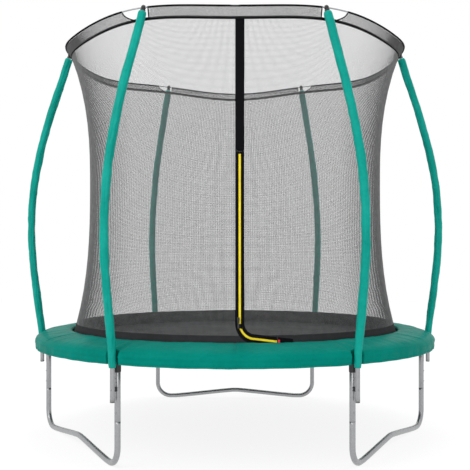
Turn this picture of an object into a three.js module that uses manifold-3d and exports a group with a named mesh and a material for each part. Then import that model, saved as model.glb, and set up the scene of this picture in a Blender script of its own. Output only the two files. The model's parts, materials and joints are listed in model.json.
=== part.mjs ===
// Backyard trampoline with a safety net: six-legged steel frame, sprung mat, padded ring,
// six bowed net poles in foam sleeves, and a waisted net hung from a top ring.
// Millimetres, +Z up, origin on the ground under the centre, entrance facing -Y.

import * as THREE from 'three';
import { mergeVertices } from 'three/addons/utils/BufferGeometryUtils.js';
import Module from 'manifold-3d';

const wasm = await Module();
wasm.setup();

// ---------- driving dimensions ----------

const FIT = 0.4;                  // clearance between pieces that slide into each other
const TOUCH = 0.6;                // gap between pieces that lie on each other
const FAR = 3000;                 // longer than the object, for cutting prisms

const RING_FACETS = 36;           // facets round every full circle of the object
const TUBE_FACETS = 12;           // facets round a leg tube
const SLIM_FACETS = 8;            // facets round a rail, pole or sleeve
const ROD_FACETS = 6;

const FRAME_R = 1204;             // centre line of the round frame
const TUBE_R = 16;                // frame and leg tube, outside
const TUBE_WALL = 1.5;
const RAIL_Z = 592;               // centre line height of the round frame
const RAIL_FACETS = 6;            // straight lengths in one 60 degree rail
const RAIL_SPIGOT = 60;           // length of a rail that reaches into the next one
const SOCKET_DROP = 36;           // rail centre line down to the shoulder of its leg socket
const SPIGOT_LENGTH = 60;         // leg socket spigot below its shoulder

const LEG_JOINT_Z = 247;          // where an upright meets its base
const BASE_SPIGOT = 130;          // base spigot inside the upright
const BASE_BEND_R = 100;          // corner bend of the base, centre line
const BASE_RUN = 40;              // flat length that stands on the ground beside each corner
const BASE_RISE = 43;             // how far the middle of the base is lifted
const BASE_CROWN = 60;            // half length of the eased middle
const BASE_CROWN_DIP = 3.4;       // how much lower that middle's two ends are
const BEND_STEPS = 3;

const COLLAR_WALL = 1.5;          // plastic collar over the top of each leg
const COLLAR_LENGTH = 50;
const COLLAR_BELOW_SOCKET = 6;

const POLE_R = 12.5;              // net pole tube, outside
const POLE_WALL = 1.5;
const POLE_GAP = 13.5;            // between a pole and its leg
const POLE_FOOT_DROP = 172;       // rail centre line down to the side and rear poles' feet
const ENTRANCE_FOOT_DROP = 68;    // the two poles beside the entrance reach lower
const POLE_BEND_DROP = 32;        // a pole is straight up to here below the rail, then bowed
const POLE_BOW = 150;             // how far the pole bows out of the straight line
const BOW_SHAPE = 1.15;
const POLE_STEPS = 7;
const ENTRANCE_LEAN = 62;         // the entrance poles' tops lean towards the entrance
const REAR_LEAN = 30;
const LEAN_RISE = 558;            // rail centre line up to where the lean begins
const LEAN_SHAPE = 1.3;

const SPACER_ABOVE_FOOT = 64;     // plastic spacer between pole and leg
const SPACER_HEIGHT = 22;
const SPACER_WIDTH = 20;

const SLEEVE_GAP = 2;             // foam sleeve round the pole
const SLEEVE_WALL = 6.5;
const SLEEVE_DROP = 65;           // rail centre line down to the sleeve's lower end
const SLEEVE_TOP_GAP = 26;        // from the top ring down to the sleeve's end

const RING_R = 1068;              // top ring rod, centre line
const RING_Z = 2398;              // at the poles
const RING_SAG = 27;              // how much lower it hangs midway between them
const ROD_R = 4;
const POLE_TOP_GAP = 18;          // from the top ring down to the pole's end
const CAP_BALL_R = 13;
const CAP_STEM = 40;

const SPRING_SPAN = 168;          // frame centre line in to the mat's edge
const MAT_T = 3;
const MAT_RISE = 8;               // top of the mat above the rail centre line

const SPRING_COUNT = 48;
const SPRING_R = 8;               // half width of one spring
const WEBBING_WIDTH = 24;         // band under the mat's edge that holds the springs
const WEBBING_T = 4;

const PAD_OVERHANG = 48;          // skirt's outside beyond the frame centre line
const PAD_LAP = 6;                // how far the pad reaches over the mat's edge
const PAD_GAP = 3.5;              // between the rails and the pad
const PAD_EDGE_T = 10.5;          // thickness at the outer corner
const PAD_MIDDLE_T = 27;
const PAD_CROWN_T = 39.5;         // thickness at the crown, near the inner edge
const PAD_INNER_T = 26;           // thickness at the inner edge
const PAD_CROWN_IN = 34;          // crown outside the inner edge
const PAD_ROUND = 9;              // size of the rounded corners
const PAD_SKIRT_DROP = 49;        // rail centre line down to the skirt's lower edge
const PAD_SKIRT_T = 4;
const NOTCH_SIDE = 13;            // from a sleeve to the side of its recess in the pad
const NOTCH_GAP = 2;              // from the recess to the frame tube's outer side

const NET_T = 1.6;
const NET_INSET = 11;             // net's foot inside the mat's edge
const NET_LIFT = 6;               // net's foot above the mat
const WAIST_INSET = 104;          // narrowest part of the net, inside its foot
const WAIST_RISE = 954;           // and above it
const LOWER_FLARE = 2.8;
const UPPER_FLARE = 2.6;
const NET_STEPS = 8;
const BAND_INSET = 34;            // lower edge of the band that hangs on the ring, inside it
const BAND_DROP = 54;             // height of that band
const BAND_TOP_GAP = 5.5;         // band's upper edge below the rod's centre line
const CUTOUT_NEAR = 26;           // opening in the band beside a pole, towards the lean
const CUTOUT_FAR = 84;            // and away from it
const ENTRANCE_CUTOUT_FAR = 130;
const CUTOUT_DEPTH = 104;

const ZIP_X = 25;                 // zip line, right of the centre
const ZIP_TOP_RISE = 1044;        // heights above the net's foot
const DOOR_TOP_WIDTH = 6;
const ZIP_CORNER_R = 80;
const ZIP_CORNER_RISE = 139;      // the zip turns sideways below this height
const ZIP_END_RISE = 12.5;        // the zip's end above the pad's inner edge
const ZIP_LENGTH_X = 192;         // how far sideways it runs
const ZIP_GAP = 5.4;              // left between the door and the fixed tape, so that it can fold
const TAPE_HALF = 24;             // half the width of the black zip tape
const TAPE_TAIL = 86;             // plain tape beyond the zip's end
const TAPE_T = 1.4;
const CORNER_STEPS = 5;

const SLIDER_RISE = 17;           // above the zip's corner, on the fixed tape beside the door
const SLIDER_SIZE = [14, 7, 30];
const PULL_LENGTH = 44;
const PULL_WIDTH = 9;
const PULL_T = 2;
const STOP_SIZE = [11, 5, 22];

// ---------- sizes that follow from the others ----------

const SOCKET_Z = RAIL_Z - SOCKET_DROP;
const SPIGOT_R = TUBE_R - TUBE_WALL - FIT;
const SPIGOT_BORE = SPIGOT_R - TUBE_WALL;
const COLLAR_R = TUBE_R + FIT + COLLAR_WALL;
const POLE_OFFSET = TUBE_R + POLE_GAP + POLE_R;
const POLE_LINE_R = FRAME_R + POLE_OFFSET;
const POLE_FOOT_Z = RAIL_Z - POLE_FOOT_DROP;
const POLE_BEND_Z = RAIL_Z - POLE_BEND_DROP;
const LEAN_Z = RAIL_Z + LEAN_RISE;
const SLEEVE_BORE = POLE_R + SLEEVE_GAP;
const SLEEVE_R = SLEEVE_BORE + SLEEVE_WALL;
const SLEEVE_BOTTOM_Z = RAIL_Z - SLEEVE_DROP;
const MAT_R = FRAME_R - SPRING_SPAN;
const MAT_Z = RAIL_Z + MAT_RISE;
const PAD_OUTER_R = FRAME_R + PAD_OVERHANG;
const PAD_INNER_R = MAT_R - PAD_LAP;
const PAD_UNDER_Z = RAIL_Z + TUBE_R + PAD_GAP;
const PAD_SKIRT_Z = RAIL_Z - PAD_SKIRT_DROP;
const PAD_NOTCH = 2 * (SLEEVE_R + NOTCH_SIDE);
const NET_BOTTOM_R = MAT_R - NET_INSET;
const NET_BOTTOM_Z = MAT_Z + NET_LIFT;
const WAIST_R = NET_BOTTOM_R - WAIST_INSET;
const WAIST_Z = NET_BOTTOM_Z + WAIST_RISE;
const BAND_R = RING_R - BAND_INSET;
const BAND_TOP_Z = RING_Z - BAND_TOP_GAP;
const BAND_BOTTOM_Z = RING_Z - BAND_DROP;
const ZIP_TOP_Z = NET_BOTTOM_Z + ZIP_TOP_RISE;
const ZIP_CORNER_Z = NET_BOTTOM_Z + ZIP_CORNER_RISE;
const ZIP_END_X = ZIP_X + ZIP_LENGTH_X;
const ZIP_END_Z = PAD_UNDER_Z + PAD_INNER_T + ZIP_END_RISE;
const TAPE_END_X = ZIP_END_X + TAPE_TAIL;
const SLIDER_Z = ZIP_CORNER_Z + SLIDER_RISE;

// ---------- materials ----------

const finish = (color, roughness, metalness = 0) => () =>
  new THREE.MeshStandardMaterial({ color, roughness, metalness });
const galvanisedSteel = finish(0xa9adaf, 0.42, 1);
const blackPlastic = finish(0x15161a, 0.55);
const tealVinyl = finish(0x0a8f7e, 0.4);
const sleeveVinyl = finish(0x0aa58e, 0.4);
const matFabric = finish(0x2a2b2d, 0.8);
const netFabric = finish(0x3a3b3d, 0.9);
const tapeFabric = finish(0x0c0c0e, 0.85);
const springSteel = finish(0xb4b7b9, 0.35, 1);
const rodPlastic = finish(0x565a5c, 0.5);
const redPlastic = finish(0xd8213a, 0.5);

// ---------- geometry helpers ----------

const lerp = THREE.MathUtils.lerp;
const radians = THREE.MathUtils.degToRad;

// Regular outline with a flat facet on each side, so that a pipe can stand on one.
function roundOutline(radius, facets) {
  const points = [];
  for (let i = 0; i < facets; i += 1) {
    const angle = ((i + 0.5) / facets) * 2 * Math.PI;
    points.push(new THREE.Vector2(radius * Math.cos(angle), radius * Math.sin(angle)));
  }
  return points;
}

function pipeShape(outer, inner, facets) {
  const shape = new THREE.Shape(roundOutline(outer, facets));
  if (inner > 0) shape.holes.push(new THREE.Path(roundOutline(inner, facets)));
  return shape;
}

// A path that keeps exactly the points it is given, one cross-section at each. Its end
// faces are square to its end lengths, or to the tangents it is given.
class PointPath extends THREE.Curve {
  constructor(points, endTangents = {}) {
    super();
    this.points = points;
    this.endTangents = endTangents;
  }

  getSpacedPoints() {
    return this.points;
  }

  getTangentAt(u) {
    const last = this.points.length - 1;
    const i = Math.round(u * last);
    if (this.endTangents[i]) return this.endTangents[i].clone();
    const here = this.points[i];
    const tangent = new THREE.Vector3();
    if (i > 0) tangent.add(here.clone().sub(this.points[i - 1]).normalize());
    if (i < last) tangent.add(this.points[i + 1].clone().sub(here).normalize());
    return tangent.normalize();
  }
}

function sweep(shape, points, endTangents) {
  const extrudePath = new PointPath(points, endTangents);
  return new THREE.ExtrudeGeometry(shape, { extrudePath, steps: points.length - 1 });
}

// Straight extrusion of a shape from one height to another.
function column(shape, bottom, top) {
  const geometry = new THREE.ExtrudeGeometry(shape, { depth: top - bottom, bevelEnabled: false });
  return geometry.translate(0, 0, bottom);
}

// Revolves a closed profile of [radius, height] pairs about Z.
function revolve(profile, facets = RING_FACETS) {
  const points = profile.map(([r, z]) => new THREE.Vector2(r, z));
  const onAxis = profile[0][0] === 0;
  if (!onAxis) points.push(points[0].clone());
  return new THREE.LatheGeometry(points, facets).rotateX(Math.PI / 2);
}

// Extrudes an outline of [x, z] pairs along Y, through the entrance side only.
function entrancePrism(outline) {
  const shape = new THREE.Shape(outline.map(([x, z]) => new THREE.Vector2(x, z)));
  const geometry = new THREE.ExtrudeGeometry(shape, { depth: FAR, bevelEnabled: false });
  return geometry.rotateX(Math.PI / 2);
}

function box(x, y, z, width, depth, height) {
  return new THREE.BoxGeometry(width, depth, height).translate(x, y, z);
}

function solid(geometry) {
  const plain = geometry.clone();
  plain.deleteAttribute('normal');
  plain.deleteAttribute('uv');
  const merged = mergeVertices(plain, 1e-4);
  const mesh = new wasm.Mesh({
    numProp: 3,
    vertProperties: new Float32Array(merged.attributes.position.array),
    triVerts: new Uint32Array(merged.index.array),
  });
  return new wasm.Manifold(mesh);
}

function geometryOf(manifold) {
  const mesh = manifold.getMesh();
  const geometry = new THREE.BufferGeometry();
  geometry.setAttribute('position', new THREE.BufferAttribute(mesh.vertProperties, 3));
  geometry.setIndex(new THREE.BufferAttribute(mesh.triVerts, 1));
  return geometry;
}

const trampoline = new THREE.Group();

function place(parent, name, geometry, material) {
  const mesh = new THREE.Mesh(geometry, material());
  mesh.name = name;
  parent.add(mesh);
}

function turnedGroup(degrees) {
  const group = new THREE.Group();
  group.rotation.z = radians(degrees);
  trampoline.add(group);
  return group;
}

// ---------- stations: one leg and one net pole at each ----------
// In a station's own group +X points outwards and +Y runs anticlockwise.

const STATIONS = [
  { name: 'front_right', angle: 300, lean: -ENTRANCE_LEAN, footDrop: ENTRANCE_FOOT_DROP },
  { name: 'right', angle: 0, lean: 0, footDrop: 0 },
  { name: 'rear_right', angle: 60, lean: REAR_LEAN, footDrop: 0 },
  { name: 'rear_left', angle: 120, lean: -REAR_LEAN, footDrop: 0 },
  { name: 'left', angle: 180, lean: 0, footDrop: 0 },
  { name: 'front_left', angle: 240, lean: ENTRANCE_LEAN, footDrop: ENTRANCE_FOOT_DROP },
];
const STATION_STEP = 360 / STATIONS.length;

// Centre line of a net pole: bowed outwards, with its top on the ring's circle.
function polePoint(station, z) {
  const u = Math.max(0, (z - POLE_BEND_Z) / (RING_Z - POLE_BEND_Z));
  const bow = POLE_BOW * Math.sin(Math.PI * Math.min(u, 1)) ** BOW_SHAPE;
  const lean = Math.max(0, (z - LEAN_Z) / (RING_Z - LEAN_Z)) ** LEAN_SHAPE;
  const side = station.lean * lean;
  const top = Math.sqrt(RING_R ** 2 - station.lean ** 2);
  return new THREE.Vector3(lerp(POLE_LINE_R, top, u) + bow, side, z);
}

// Corners of the pole's centre line, from its foot to the ring.
function poleCorners(station) {
  const corners = [polePoint(station, poleFoot(station))];
  for (let i = 0; i <= POLE_STEPS; i += 1) {
    corners.push(polePoint(station, lerp(POLE_BEND_Z, RING_Z, i / POLE_STEPS)));
  }
  return corners;
}

// The same line between two heights, so that a sleeve and its pole stay concentric.
function poleLine(station, bottom, top) {
  const corners = poleCorners(station);
  const at = (z) => {
    const next = Math.max(1, corners.findIndex((corner) => corner.z >= z));
    const [a, b] = [corners[next - 1], corners[next]];
    return a.clone().lerp(b, (z - a.z) / (b.z - a.z));
  };
  const between = corners.filter((corner) => corner.z > bottom && corner.z < top);
  return [at(bottom), ...between, at(top)];
}

function poleFoot(station) {
  return POLE_FOOT_Z - station.footDrop;
}

// ---------- frame rails, each with the socket for one leg ----------

function framePoint(angle) {
  const a = radians(angle);
  return new THREE.Vector3(FRAME_R * Math.cos(a), FRAME_R * Math.sin(a), RAIL_Z);
}

function frameTangent(angle) {
  return new THREE.Vector3(-Math.sin(radians(angle)), Math.cos(radians(angle)), 0);
}

function railGeometry() {
  const half = STATION_STEP / 2;
  const end = half - THREE.MathUtils.radToDeg(FIT / FRAME_R);
  const facet = STATION_STEP / RAIL_FACETS;
  const bore = TUBE_R - TUBE_WALL;
  const line = [];
  for (let i = 0; i < RAIL_FACETS; i += 1) line.push(framePoint(i * facet - half));
  line.push(framePoint(end));
  const ends = { 0: frameTangent(-half), [RAIL_FACETS]: frameTangent(end) };
  const tube = (outer, inner) => solid(sweep(pipeShape(outer, inner, SLIM_FACETS), line, ends));

  const seam = framePoint(end);
  const inward = framePoint(end - facet).sub(seam).setLength(2 * TUBE_WALL);
  const onward = framePoint(half + facet).sub(framePoint(half)).setLength(RAIL_SPIGOT);
  const root = seam.clone().add(inward);
  const shoulder = sweep(pipeShape(TUBE_R - FIT, SPIGOT_BORE, SLIM_FACETS),
    [root, seam], { 1: frameTangent(end) });
  const spigot = sweep(pipeShape(SPIGOT_R, SPIGOT_BORE, SLIM_FACETS),
    [root, framePoint(half), framePoint(half).add(onward)]);

  const stem = column(pipeShape(TUBE_R, SPIGOT_BORE, TUBE_FACETS), SOCKET_Z, RAIL_Z);
  const stemEnd = column(pipeShape(SPIGOT_R, SPIGOT_BORE, TUBE_FACETS),
    SOCKET_Z - SPIGOT_LENGTH, SOCKET_Z + TUBE_WALL);
  const socket = solid(stem.translate(FRAME_R, 0, 0))
    .add(solid(stemEnd.translate(FRAME_R, 0, 0)))
    .subtract(tube(bore, 0));
  return geometryOf(tube(TUBE_R, bore)
    .add(solid(shoulder))
    .add(solid(spigot))
    .add(socket));
}

// ---------- legs ----------

function uprightGeometry() {
  const shape = pipeShape(TUBE_R, TUBE_R - TUBE_WALL, TUBE_FACETS);
  return column(shape, LEG_JOINT_Z + FIT, SOCKET_Z - FIT).translate(FRAME_R, 0, 0);
}

// One base joins two legs. In its own group +X points outwards through the middle of the
// base, and the base runs along Y.
function baseGeometry() {
  const reach = FRAME_R * Math.sin(radians(STATION_STEP / 2));
  const depth = FRAME_R * Math.cos(radians(STATION_STEP / 2));
  const low = TUBE_R * Math.cos(Math.PI / TUBE_FACETS);
  const half = [[reach, LEG_JOINT_Z]];
  for (let i = 0; i <= BEND_STEPS; i += 1) {
    const angle = radians((90 * i) / BEND_STEPS);
    half.push([
      reach - BASE_BEND_R * (1 - Math.cos(angle)),
      low + BASE_BEND_R * (1 - Math.sin(angle)),
    ]);
  }
  half.push([reach - BASE_BEND_R - BASE_RUN, low]);
  half.push([BASE_CROWN, low + BASE_RISE - BASE_CROWN_DIP]);
  const points = [
    ...half.map(([y, z]) => new THREE.Vector3(depth, -y, z)),
    new THREE.Vector3(depth, 0, low + BASE_RISE),
    ...half.reverse().map(([y, z]) => new THREE.Vector3(depth, y, z)),
  ];
  let base = solid(sweep(pipeShape(TUBE_R, TUBE_R - TUBE_WALL, TUBE_FACETS), points));
  const shoulder = pipeShape(TUBE_R - FIT, SPIGOT_BORE, TUBE_FACETS);
  const spigot = pipeShape(SPIGOT_R, SPIGOT_BORE, TUBE_FACETS);
  for (const y of [-reach, reach]) {
    const ring = column(shoulder, LEG_JOINT_Z - 2 * TUBE_WALL, LEG_JOINT_Z);
    const pin = column(spigot, LEG_JOINT_Z - 2 * TUBE_WALL, LEG_JOINT_Z + BASE_SPIGOT);
    base = base.add(solid(ring.translate(depth, y, 0))).add(solid(pin.translate(depth, y, 0)));
  }
  return geometryOf(base);
}

function collarGeometry() {
  const top = SOCKET_Z - COLLAR_BELOW_SOCKET;
  const shape = pipeShape(COLLAR_R, TUBE_R + FIT, TUBE_FACETS);
  return column(shape, top - COLLAR_LENGTH, top).translate(FRAME_R, 0, 0);
}

// ---------- net poles ----------

function poleGeometry(station) {
  const line = poleLine(station, poleFoot(station), RING_Z - POLE_TOP_GAP);
  return sweep(pipeShape(POLE_R, POLE_R - POLE_WALL, SLIM_FACETS), line);
}

function sleeveGeometry(station) {
  const line = poleLine(station, SLEEVE_BOTTOM_Z, RING_Z - SLEEVE_TOP_GAP);
  return sweep(pipeShape(SLEEVE_R, SLEEVE_BORE, SLIM_FACETS), line);
}

// Saddle block that keeps the pole clear of the leg.
function spacerGeometry(station) {
  const z = poleFoot(station) + SPACER_ABOVE_FOOT;
  const block = solid(box((FRAME_R + POLE_LINE_R) / 2, 0, z,
    POLE_OFFSET, SPACER_WIDTH, SPACER_HEIGHT));
  const leg = column(pipeShape(TUBE_R + FIT, 0, TUBE_FACETS), z - SPACER_HEIGHT, z + SPACER_HEIGHT);
  const pole = column(pipeShape(POLE_R + FIT, 0, TUBE_FACETS), z - SPACER_HEIGHT, z + SPACER_HEIGHT);
  return geometryOf(block
    .subtract(solid(leg.translate(FRAME_R, 0, 0)))
    .subtract(solid(pole.translate(POLE_LINE_R, 0, 0))));
}

// Lets the upper part of a turned shape hang down between the poles, as the ring does.
function sagged(geometry) {
  const place = geometry.attributes.position;
  for (let i = 0; i < place.count; i += 1) {
    const angle = Math.atan2(place.getY(i), place.getX(i));
    const midway = (1 - Math.cos(STATIONS.length * angle)) / 2;
    const share = Math.max(0, (place.getZ(i) - WAIST_Z) / (BAND_BOTTOM_Z - WAIST_Z));
    place.setZ(i, place.getZ(i) - RING_SAG * midway * Math.min(1, share) ** 2);
  }
  return geometry;
}

function topRing(rodRadius) {
  const outline = roundOutline(rodRadius, ROD_FACETS).map((p) => [RING_R + p.x, RING_Z + p.y]);
  return sagged(revolve(outline));
}

// Plug in the pole's top, with a ball that the ring rod passes through.
function capGeometry(station) {
  const [below, top] = poleCorners(station).slice(-2);
  const along = top.clone().sub(below).normalize();
  const turn = new THREE.Quaternion().setFromUnitVectors(new THREE.Vector3(0, 0, 1), along);
  const stem = column(pipeShape(POLE_R - POLE_WALL - 2 * FIT, 0, SLIM_FACETS), -CAP_STEM, 0);
  const ball = new THREE.SphereGeometry(CAP_BALL_R, 10, 6).rotateX(Math.PI / 2);
  const hole = new THREE.Matrix4().makeRotationZ(radians(-station.angle));
  const cap = [stem, ball].map((g) => solid(g.applyQuaternion(turn).translate(...top)));
  return geometryOf(cap[0].add(cap[1])
    .subtract(solid(topRing(ROD_R + FIT).applyMatrix4(hole))));
}

// ---------- mat, springs and pad ----------

function matGeometry() {
  return revolve([[0, MAT_Z - MAT_T], [MAT_R, MAT_Z - MAT_T], [MAT_R, MAT_Z], [0, MAT_Z]]);
}

// All springs, held together by the webbing band that is sewn under the mat's edge.
function springGeometry() {
  const top = MAT_Z - MAT_T - TOUCH;
  const inner = MAT_R - WEBBING_WIDTH;
  const railMiddle = FRAME_R * Math.cos(radians(STATION_STEP / RAIL_FACETS / 2));
  const outer = railMiddle - TUBE_R * Math.cos(Math.PI / SLIM_FACETS) - TOUCH;
  const middle = top - WEBBING_T / 2;
  let set = solid(revolve([[inner, top - WEBBING_T], [MAT_R, top - WEBBING_T],
    [MAT_R, top], [inner, top]]));
  const start = MAT_R - WEBBING_WIDTH / 4;
  for (let i = 0; i < SPRING_COUNT; i += 1) {
    const spring = box((start + outer) / 2, 0, middle - SPRING_R + WEBBING_T / 2,
      outer - start, 2 * SPRING_R, 2 * SPRING_R);
    spring.rotateZ(radians(((i + 0.5) * 360) / SPRING_COUNT));
    set = set.add(solid(spring));
  }
  return geometryOf(set);
}

function padGeometry() {
  const skirtInner = PAD_OUTER_R - PAD_SKIRT_T;
  const edge = PAD_UNDER_Z + PAD_EDGE_T;
  let pad = solid(revolve([
    [PAD_INNER_R, PAD_UNDER_Z],
    [skirtInner - PAD_SKIRT_T, PAD_UNDER_Z],
    [skirtInner, PAD_UNDER_Z - PAD_SKIRT_T],
    [skirtInner, PAD_SKIRT_Z],
    [PAD_OUTER_R, PAD_SKIRT_Z],
    [PAD_OUTER_R, edge - PAD_ROUND],
    [PAD_OUTER_R - PAD_ROUND, edge],
    [(PAD_INNER_R + PAD_OUTER_R) / 2, PAD_UNDER_Z + PAD_MIDDLE_T],
    [PAD_INNER_R + PAD_CROWN_IN, PAD_UNDER_Z + PAD_CROWN_T],
    [PAD_INNER_R + PAD_ROUND, PAD_UNDER_Z + PAD_CROWN_T - PAD_ROUND / 2],
    [PAD_INNER_R, PAD_UNDER_Z + PAD_INNER_T],
  ]));
  const notchInner = FRAME_R + TUBE_R + NOTCH_GAP;
  for (const station of STATIONS) {
    const notch = box(notchInner + PAD_NOTCH / 2, 0, PAD_UNDER_Z, PAD_NOTCH, PAD_NOTCH, FRAME_R);
    pad = pad.subtract(solid(notch.rotateZ(radians(station.angle))));
  }
  return geometryOf(pad);
}

// ---------- net, door flap and zip ----------

// Outer radius of the hanging net at a height.
function netRadius(z) {
  if (z > BAND_BOTTOM_Z) {
    return lerp(BAND_R, RING_R, (z - BAND_BOTTOM_Z) / BAND_DROP);
  }
  if (z > WAIST_Z) {
    const up = (z - WAIST_Z) / (BAND_BOTTOM_Z - WAIST_Z);
    return lerp(WAIST_R, BAND_R, up ** UPPER_FLARE);
  }
  const down = (WAIST_Z - z) / (WAIST_Z - NET_BOTTOM_Z);
  return lerp(WAIST_R, NET_BOTTOM_R, down ** LOWER_FLARE);
}

const netHeights = [];
for (let i = 0; i <= NET_STEPS; i += 1) {
  netHeights.push(lerp(NET_BOTTOM_Z, BAND_BOTTOM_Z, i / NET_STEPS));
}
netHeights.push(BAND_TOP_Z);

// Layer of the net's surface of revolution, between two distances outside it.
function netLayer(from, to) {
  const outside = netHeights.map((z) => [netRadius(z) + to, z]);
  const inside = netHeights.map((z) => [netRadius(z) + from, z]);
  return solid(sagged(revolve([...outside, ...inside.reverse()])));
}

// The zip runs down, round a corner and along the net's foot. The offset is measured
// away from the door, so a negative one lies on the door.
function zipLine(offset, topZ, endX) {
  const radius = ZIP_CORNER_R + offset;
  const centreX = ZIP_X + ZIP_CORNER_R;
  const points = [[ZIP_X - offset, topZ]];
  for (let i = 0; i <= CORNER_STEPS; i += 1) {
    const angle = radians(180 + (90 * i) / CORNER_STEPS);
    points.push([
      centreX + radius * Math.cos(angle),
      ZIP_CORNER_Z + radius * Math.sin(angle),
    ]);
  }
  const slope = (ZIP_END_Z - (ZIP_CORNER_Z - ZIP_CORNER_R)) / (ZIP_END_X - centreX);
  points.push([endX, ZIP_CORNER_Z - radius + slope * (endX - centreX)]);
  return points;
}

// The door is folded outwards along the straight line from the zip's top to its end.
const doorOutline = (zipGap, foldGap) => [
  ...zipLine(zipGap, ZIP_TOP_Z + foldGap, ZIP_END_X + 2 * foldGap),
  [ZIP_X + DOOR_TOP_WIDTH + 2 * foldGap, ZIP_TOP_Z + foldGap],
];
const tapeOutline = () => [
  ...zipLine(TAPE_HALF, BAND_BOTTOM_Z - RING_SAG, TAPE_END_X),
  ...zipLine(-TAPE_HALF, BAND_BOTTOM_Z - RING_SAG, TAPE_END_X).reverse(),
];

// The band is open beside each pole, further on the side away from the pole's lean.
function cutout(station) {
  const top = polePoint(station, RING_Z);
  const far = station.footDrop > 0 ? ENTRANCE_CUTOUT_FAR : CUTOUT_FAR;
  const shift = (-Math.sign(station.lean) * (far - CUTOUT_NEAR)) / 2;
  const height = BAND_DROP + RING_SAG;
  const cut = box(top.x, top.y + shift, BAND_BOTTOM_Z + NET_T + height / 2,
    CUTOUT_DEPTH, CUTOUT_NEAR + far, height);
  return solid(cut.rotateZ(radians(station.angle)));
}

function netGeometry() {
  let net = netLayer(-NET_T, 0).subtract(solid(entrancePrism(doorOutline(ZIP_GAP, TOUCH))));
  for (const station of STATIONS) net = net.subtract(cutout(station));
  return geometryOf(net);
}

function buildNet() {
  const door = solid(entrancePrism(doorOutline(0, 0)));
  const gap = solid(entrancePrism(doorOutline(ZIP_GAP, TOUCH)));
  const tape = netLayer(TOUCH, TOUCH + TAPE_T).intersect(solid(entrancePrism(tapeOutline())));
  place(trampoline, 'net_body', netGeometry(), netFabric);
  place(trampoline, 'net_door', geometryOf(netLayer(-NET_T, 0).intersect(door)), netFabric);
  place(trampoline, 'zip_tape_fixed', geometryOf(tape.subtract(gap)), tapeFabric);
  place(trampoline, 'zip_tape_door', geometryOf(tape.intersect(door)), tapeFabric);
}

// Distance of the zip tape's outer face from the centre plane, at a place on the zip.
function tapeFace(x, z) {
  const next = netHeights.findIndex((height) => height >= z);
  const [low, high] = [netHeights[next - 1], netHeights[next]];
  const radius = lerp(netRadius(low), netRadius(high), (z - low) / (high - low));
  return Math.sqrt((radius + TOUCH + TAPE_T) ** 2 - x ** 2);
}

function buildZipPieces() {
  const [width, depth, height] = SLIDER_SIZE;
  const sliderX = ZIP_X - TOUCH - width / 2;
  const sliderY = -(tapeFace(0, SLIDER_Z - height / 2) + TOUCH + depth / 2);
  place(trampoline, 'zip_slider',
    box(sliderX, sliderY, SLIDER_Z, width, depth, height), blackPlastic);

  const hingeY = sliderY - depth / 2 - TOUCH - PULL_T / 2;
  const lower = tapeFace(ZIP_X, SLIDER_Z - PULL_LENGTH) - tapeFace(ZIP_X, SLIDER_Z);
  const pull = new THREE.Group();
  pull.position.set(sliderX, hingeY, SLIDER_Z);
  pull.rotation.x = -Math.atan2(lower, PULL_LENGTH);
  trampoline.add(pull);
  place(pull, 'zip_pull', box(0, 0, -PULL_LENGTH / 2, PULL_WIDTH, PULL_T, PULL_LENGTH),
    blackPlastic);

  const [stopWidth, stopDepth, stopHeight] = STOP_SIZE;
  const stopX = ZIP_END_X + stopWidth;
  const stopFace = tapeFace(stopX - stopWidth / 2, ZIP_END_Z - stopHeight / 2);
  const stopY = -(stopFace + TOUCH + stopDepth / 2);
  place(trampoline, 'zip_end_stop',
    box(stopX, stopY, ZIP_END_Z, stopWidth, stopDepth, stopHeight), redPlastic);
}

// ---------- assembly ----------

for (const station of STATIONS) {
  const group = turnedGroup(station.angle);
  place(group, `frame_rail_${station.name}`, railGeometry(), galvanisedSteel);
  place(group, `leg_upright_${station.name}`, uprightGeometry(), galvanisedSteel);
  place(group, `leg_collar_${station.name}`, collarGeometry(), blackPlastic);
  place(group, `net_pole_${station.name}`, poleGeometry(station), galvanisedSteel);
  place(group, `pole_spacer_${station.name}`, spacerGeometry(station), blackPlastic);
  place(group, `pole_sleeve_${station.name}`, sleeveGeometry(station), sleeveVinyl);
  place(group, `pole_cap_${station.name}`, capGeometry(station), blackPlastic);
}
for (const [name, angle] of [['left', 210], ['right', 330], ['rear', 90]]) {
  place(turnedGroup(angle), `leg_base_${name}`, baseGeometry(), galvanisedSteel);
}
place(trampoline, 'top_ring', topRing(ROD_R), rodPlastic);
place(trampoline, 'spring_set', springGeometry(), springSteel);
place(trampoline, 'mat', matGeometry(), matFabric);
place(trampoline, 'safety_pad', padGeometry(), tealVinyl);
buildNet();
buildZipPieces();

export default trampoline;
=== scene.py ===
"""Backyard trampoline with a bowed-pole safety net: the visible pieces, built round the CAD frame."""

import json
import math
import random

import bmesh
import bpy
import numpy as np
from mathutils import Matrix, Vector, noise

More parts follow.
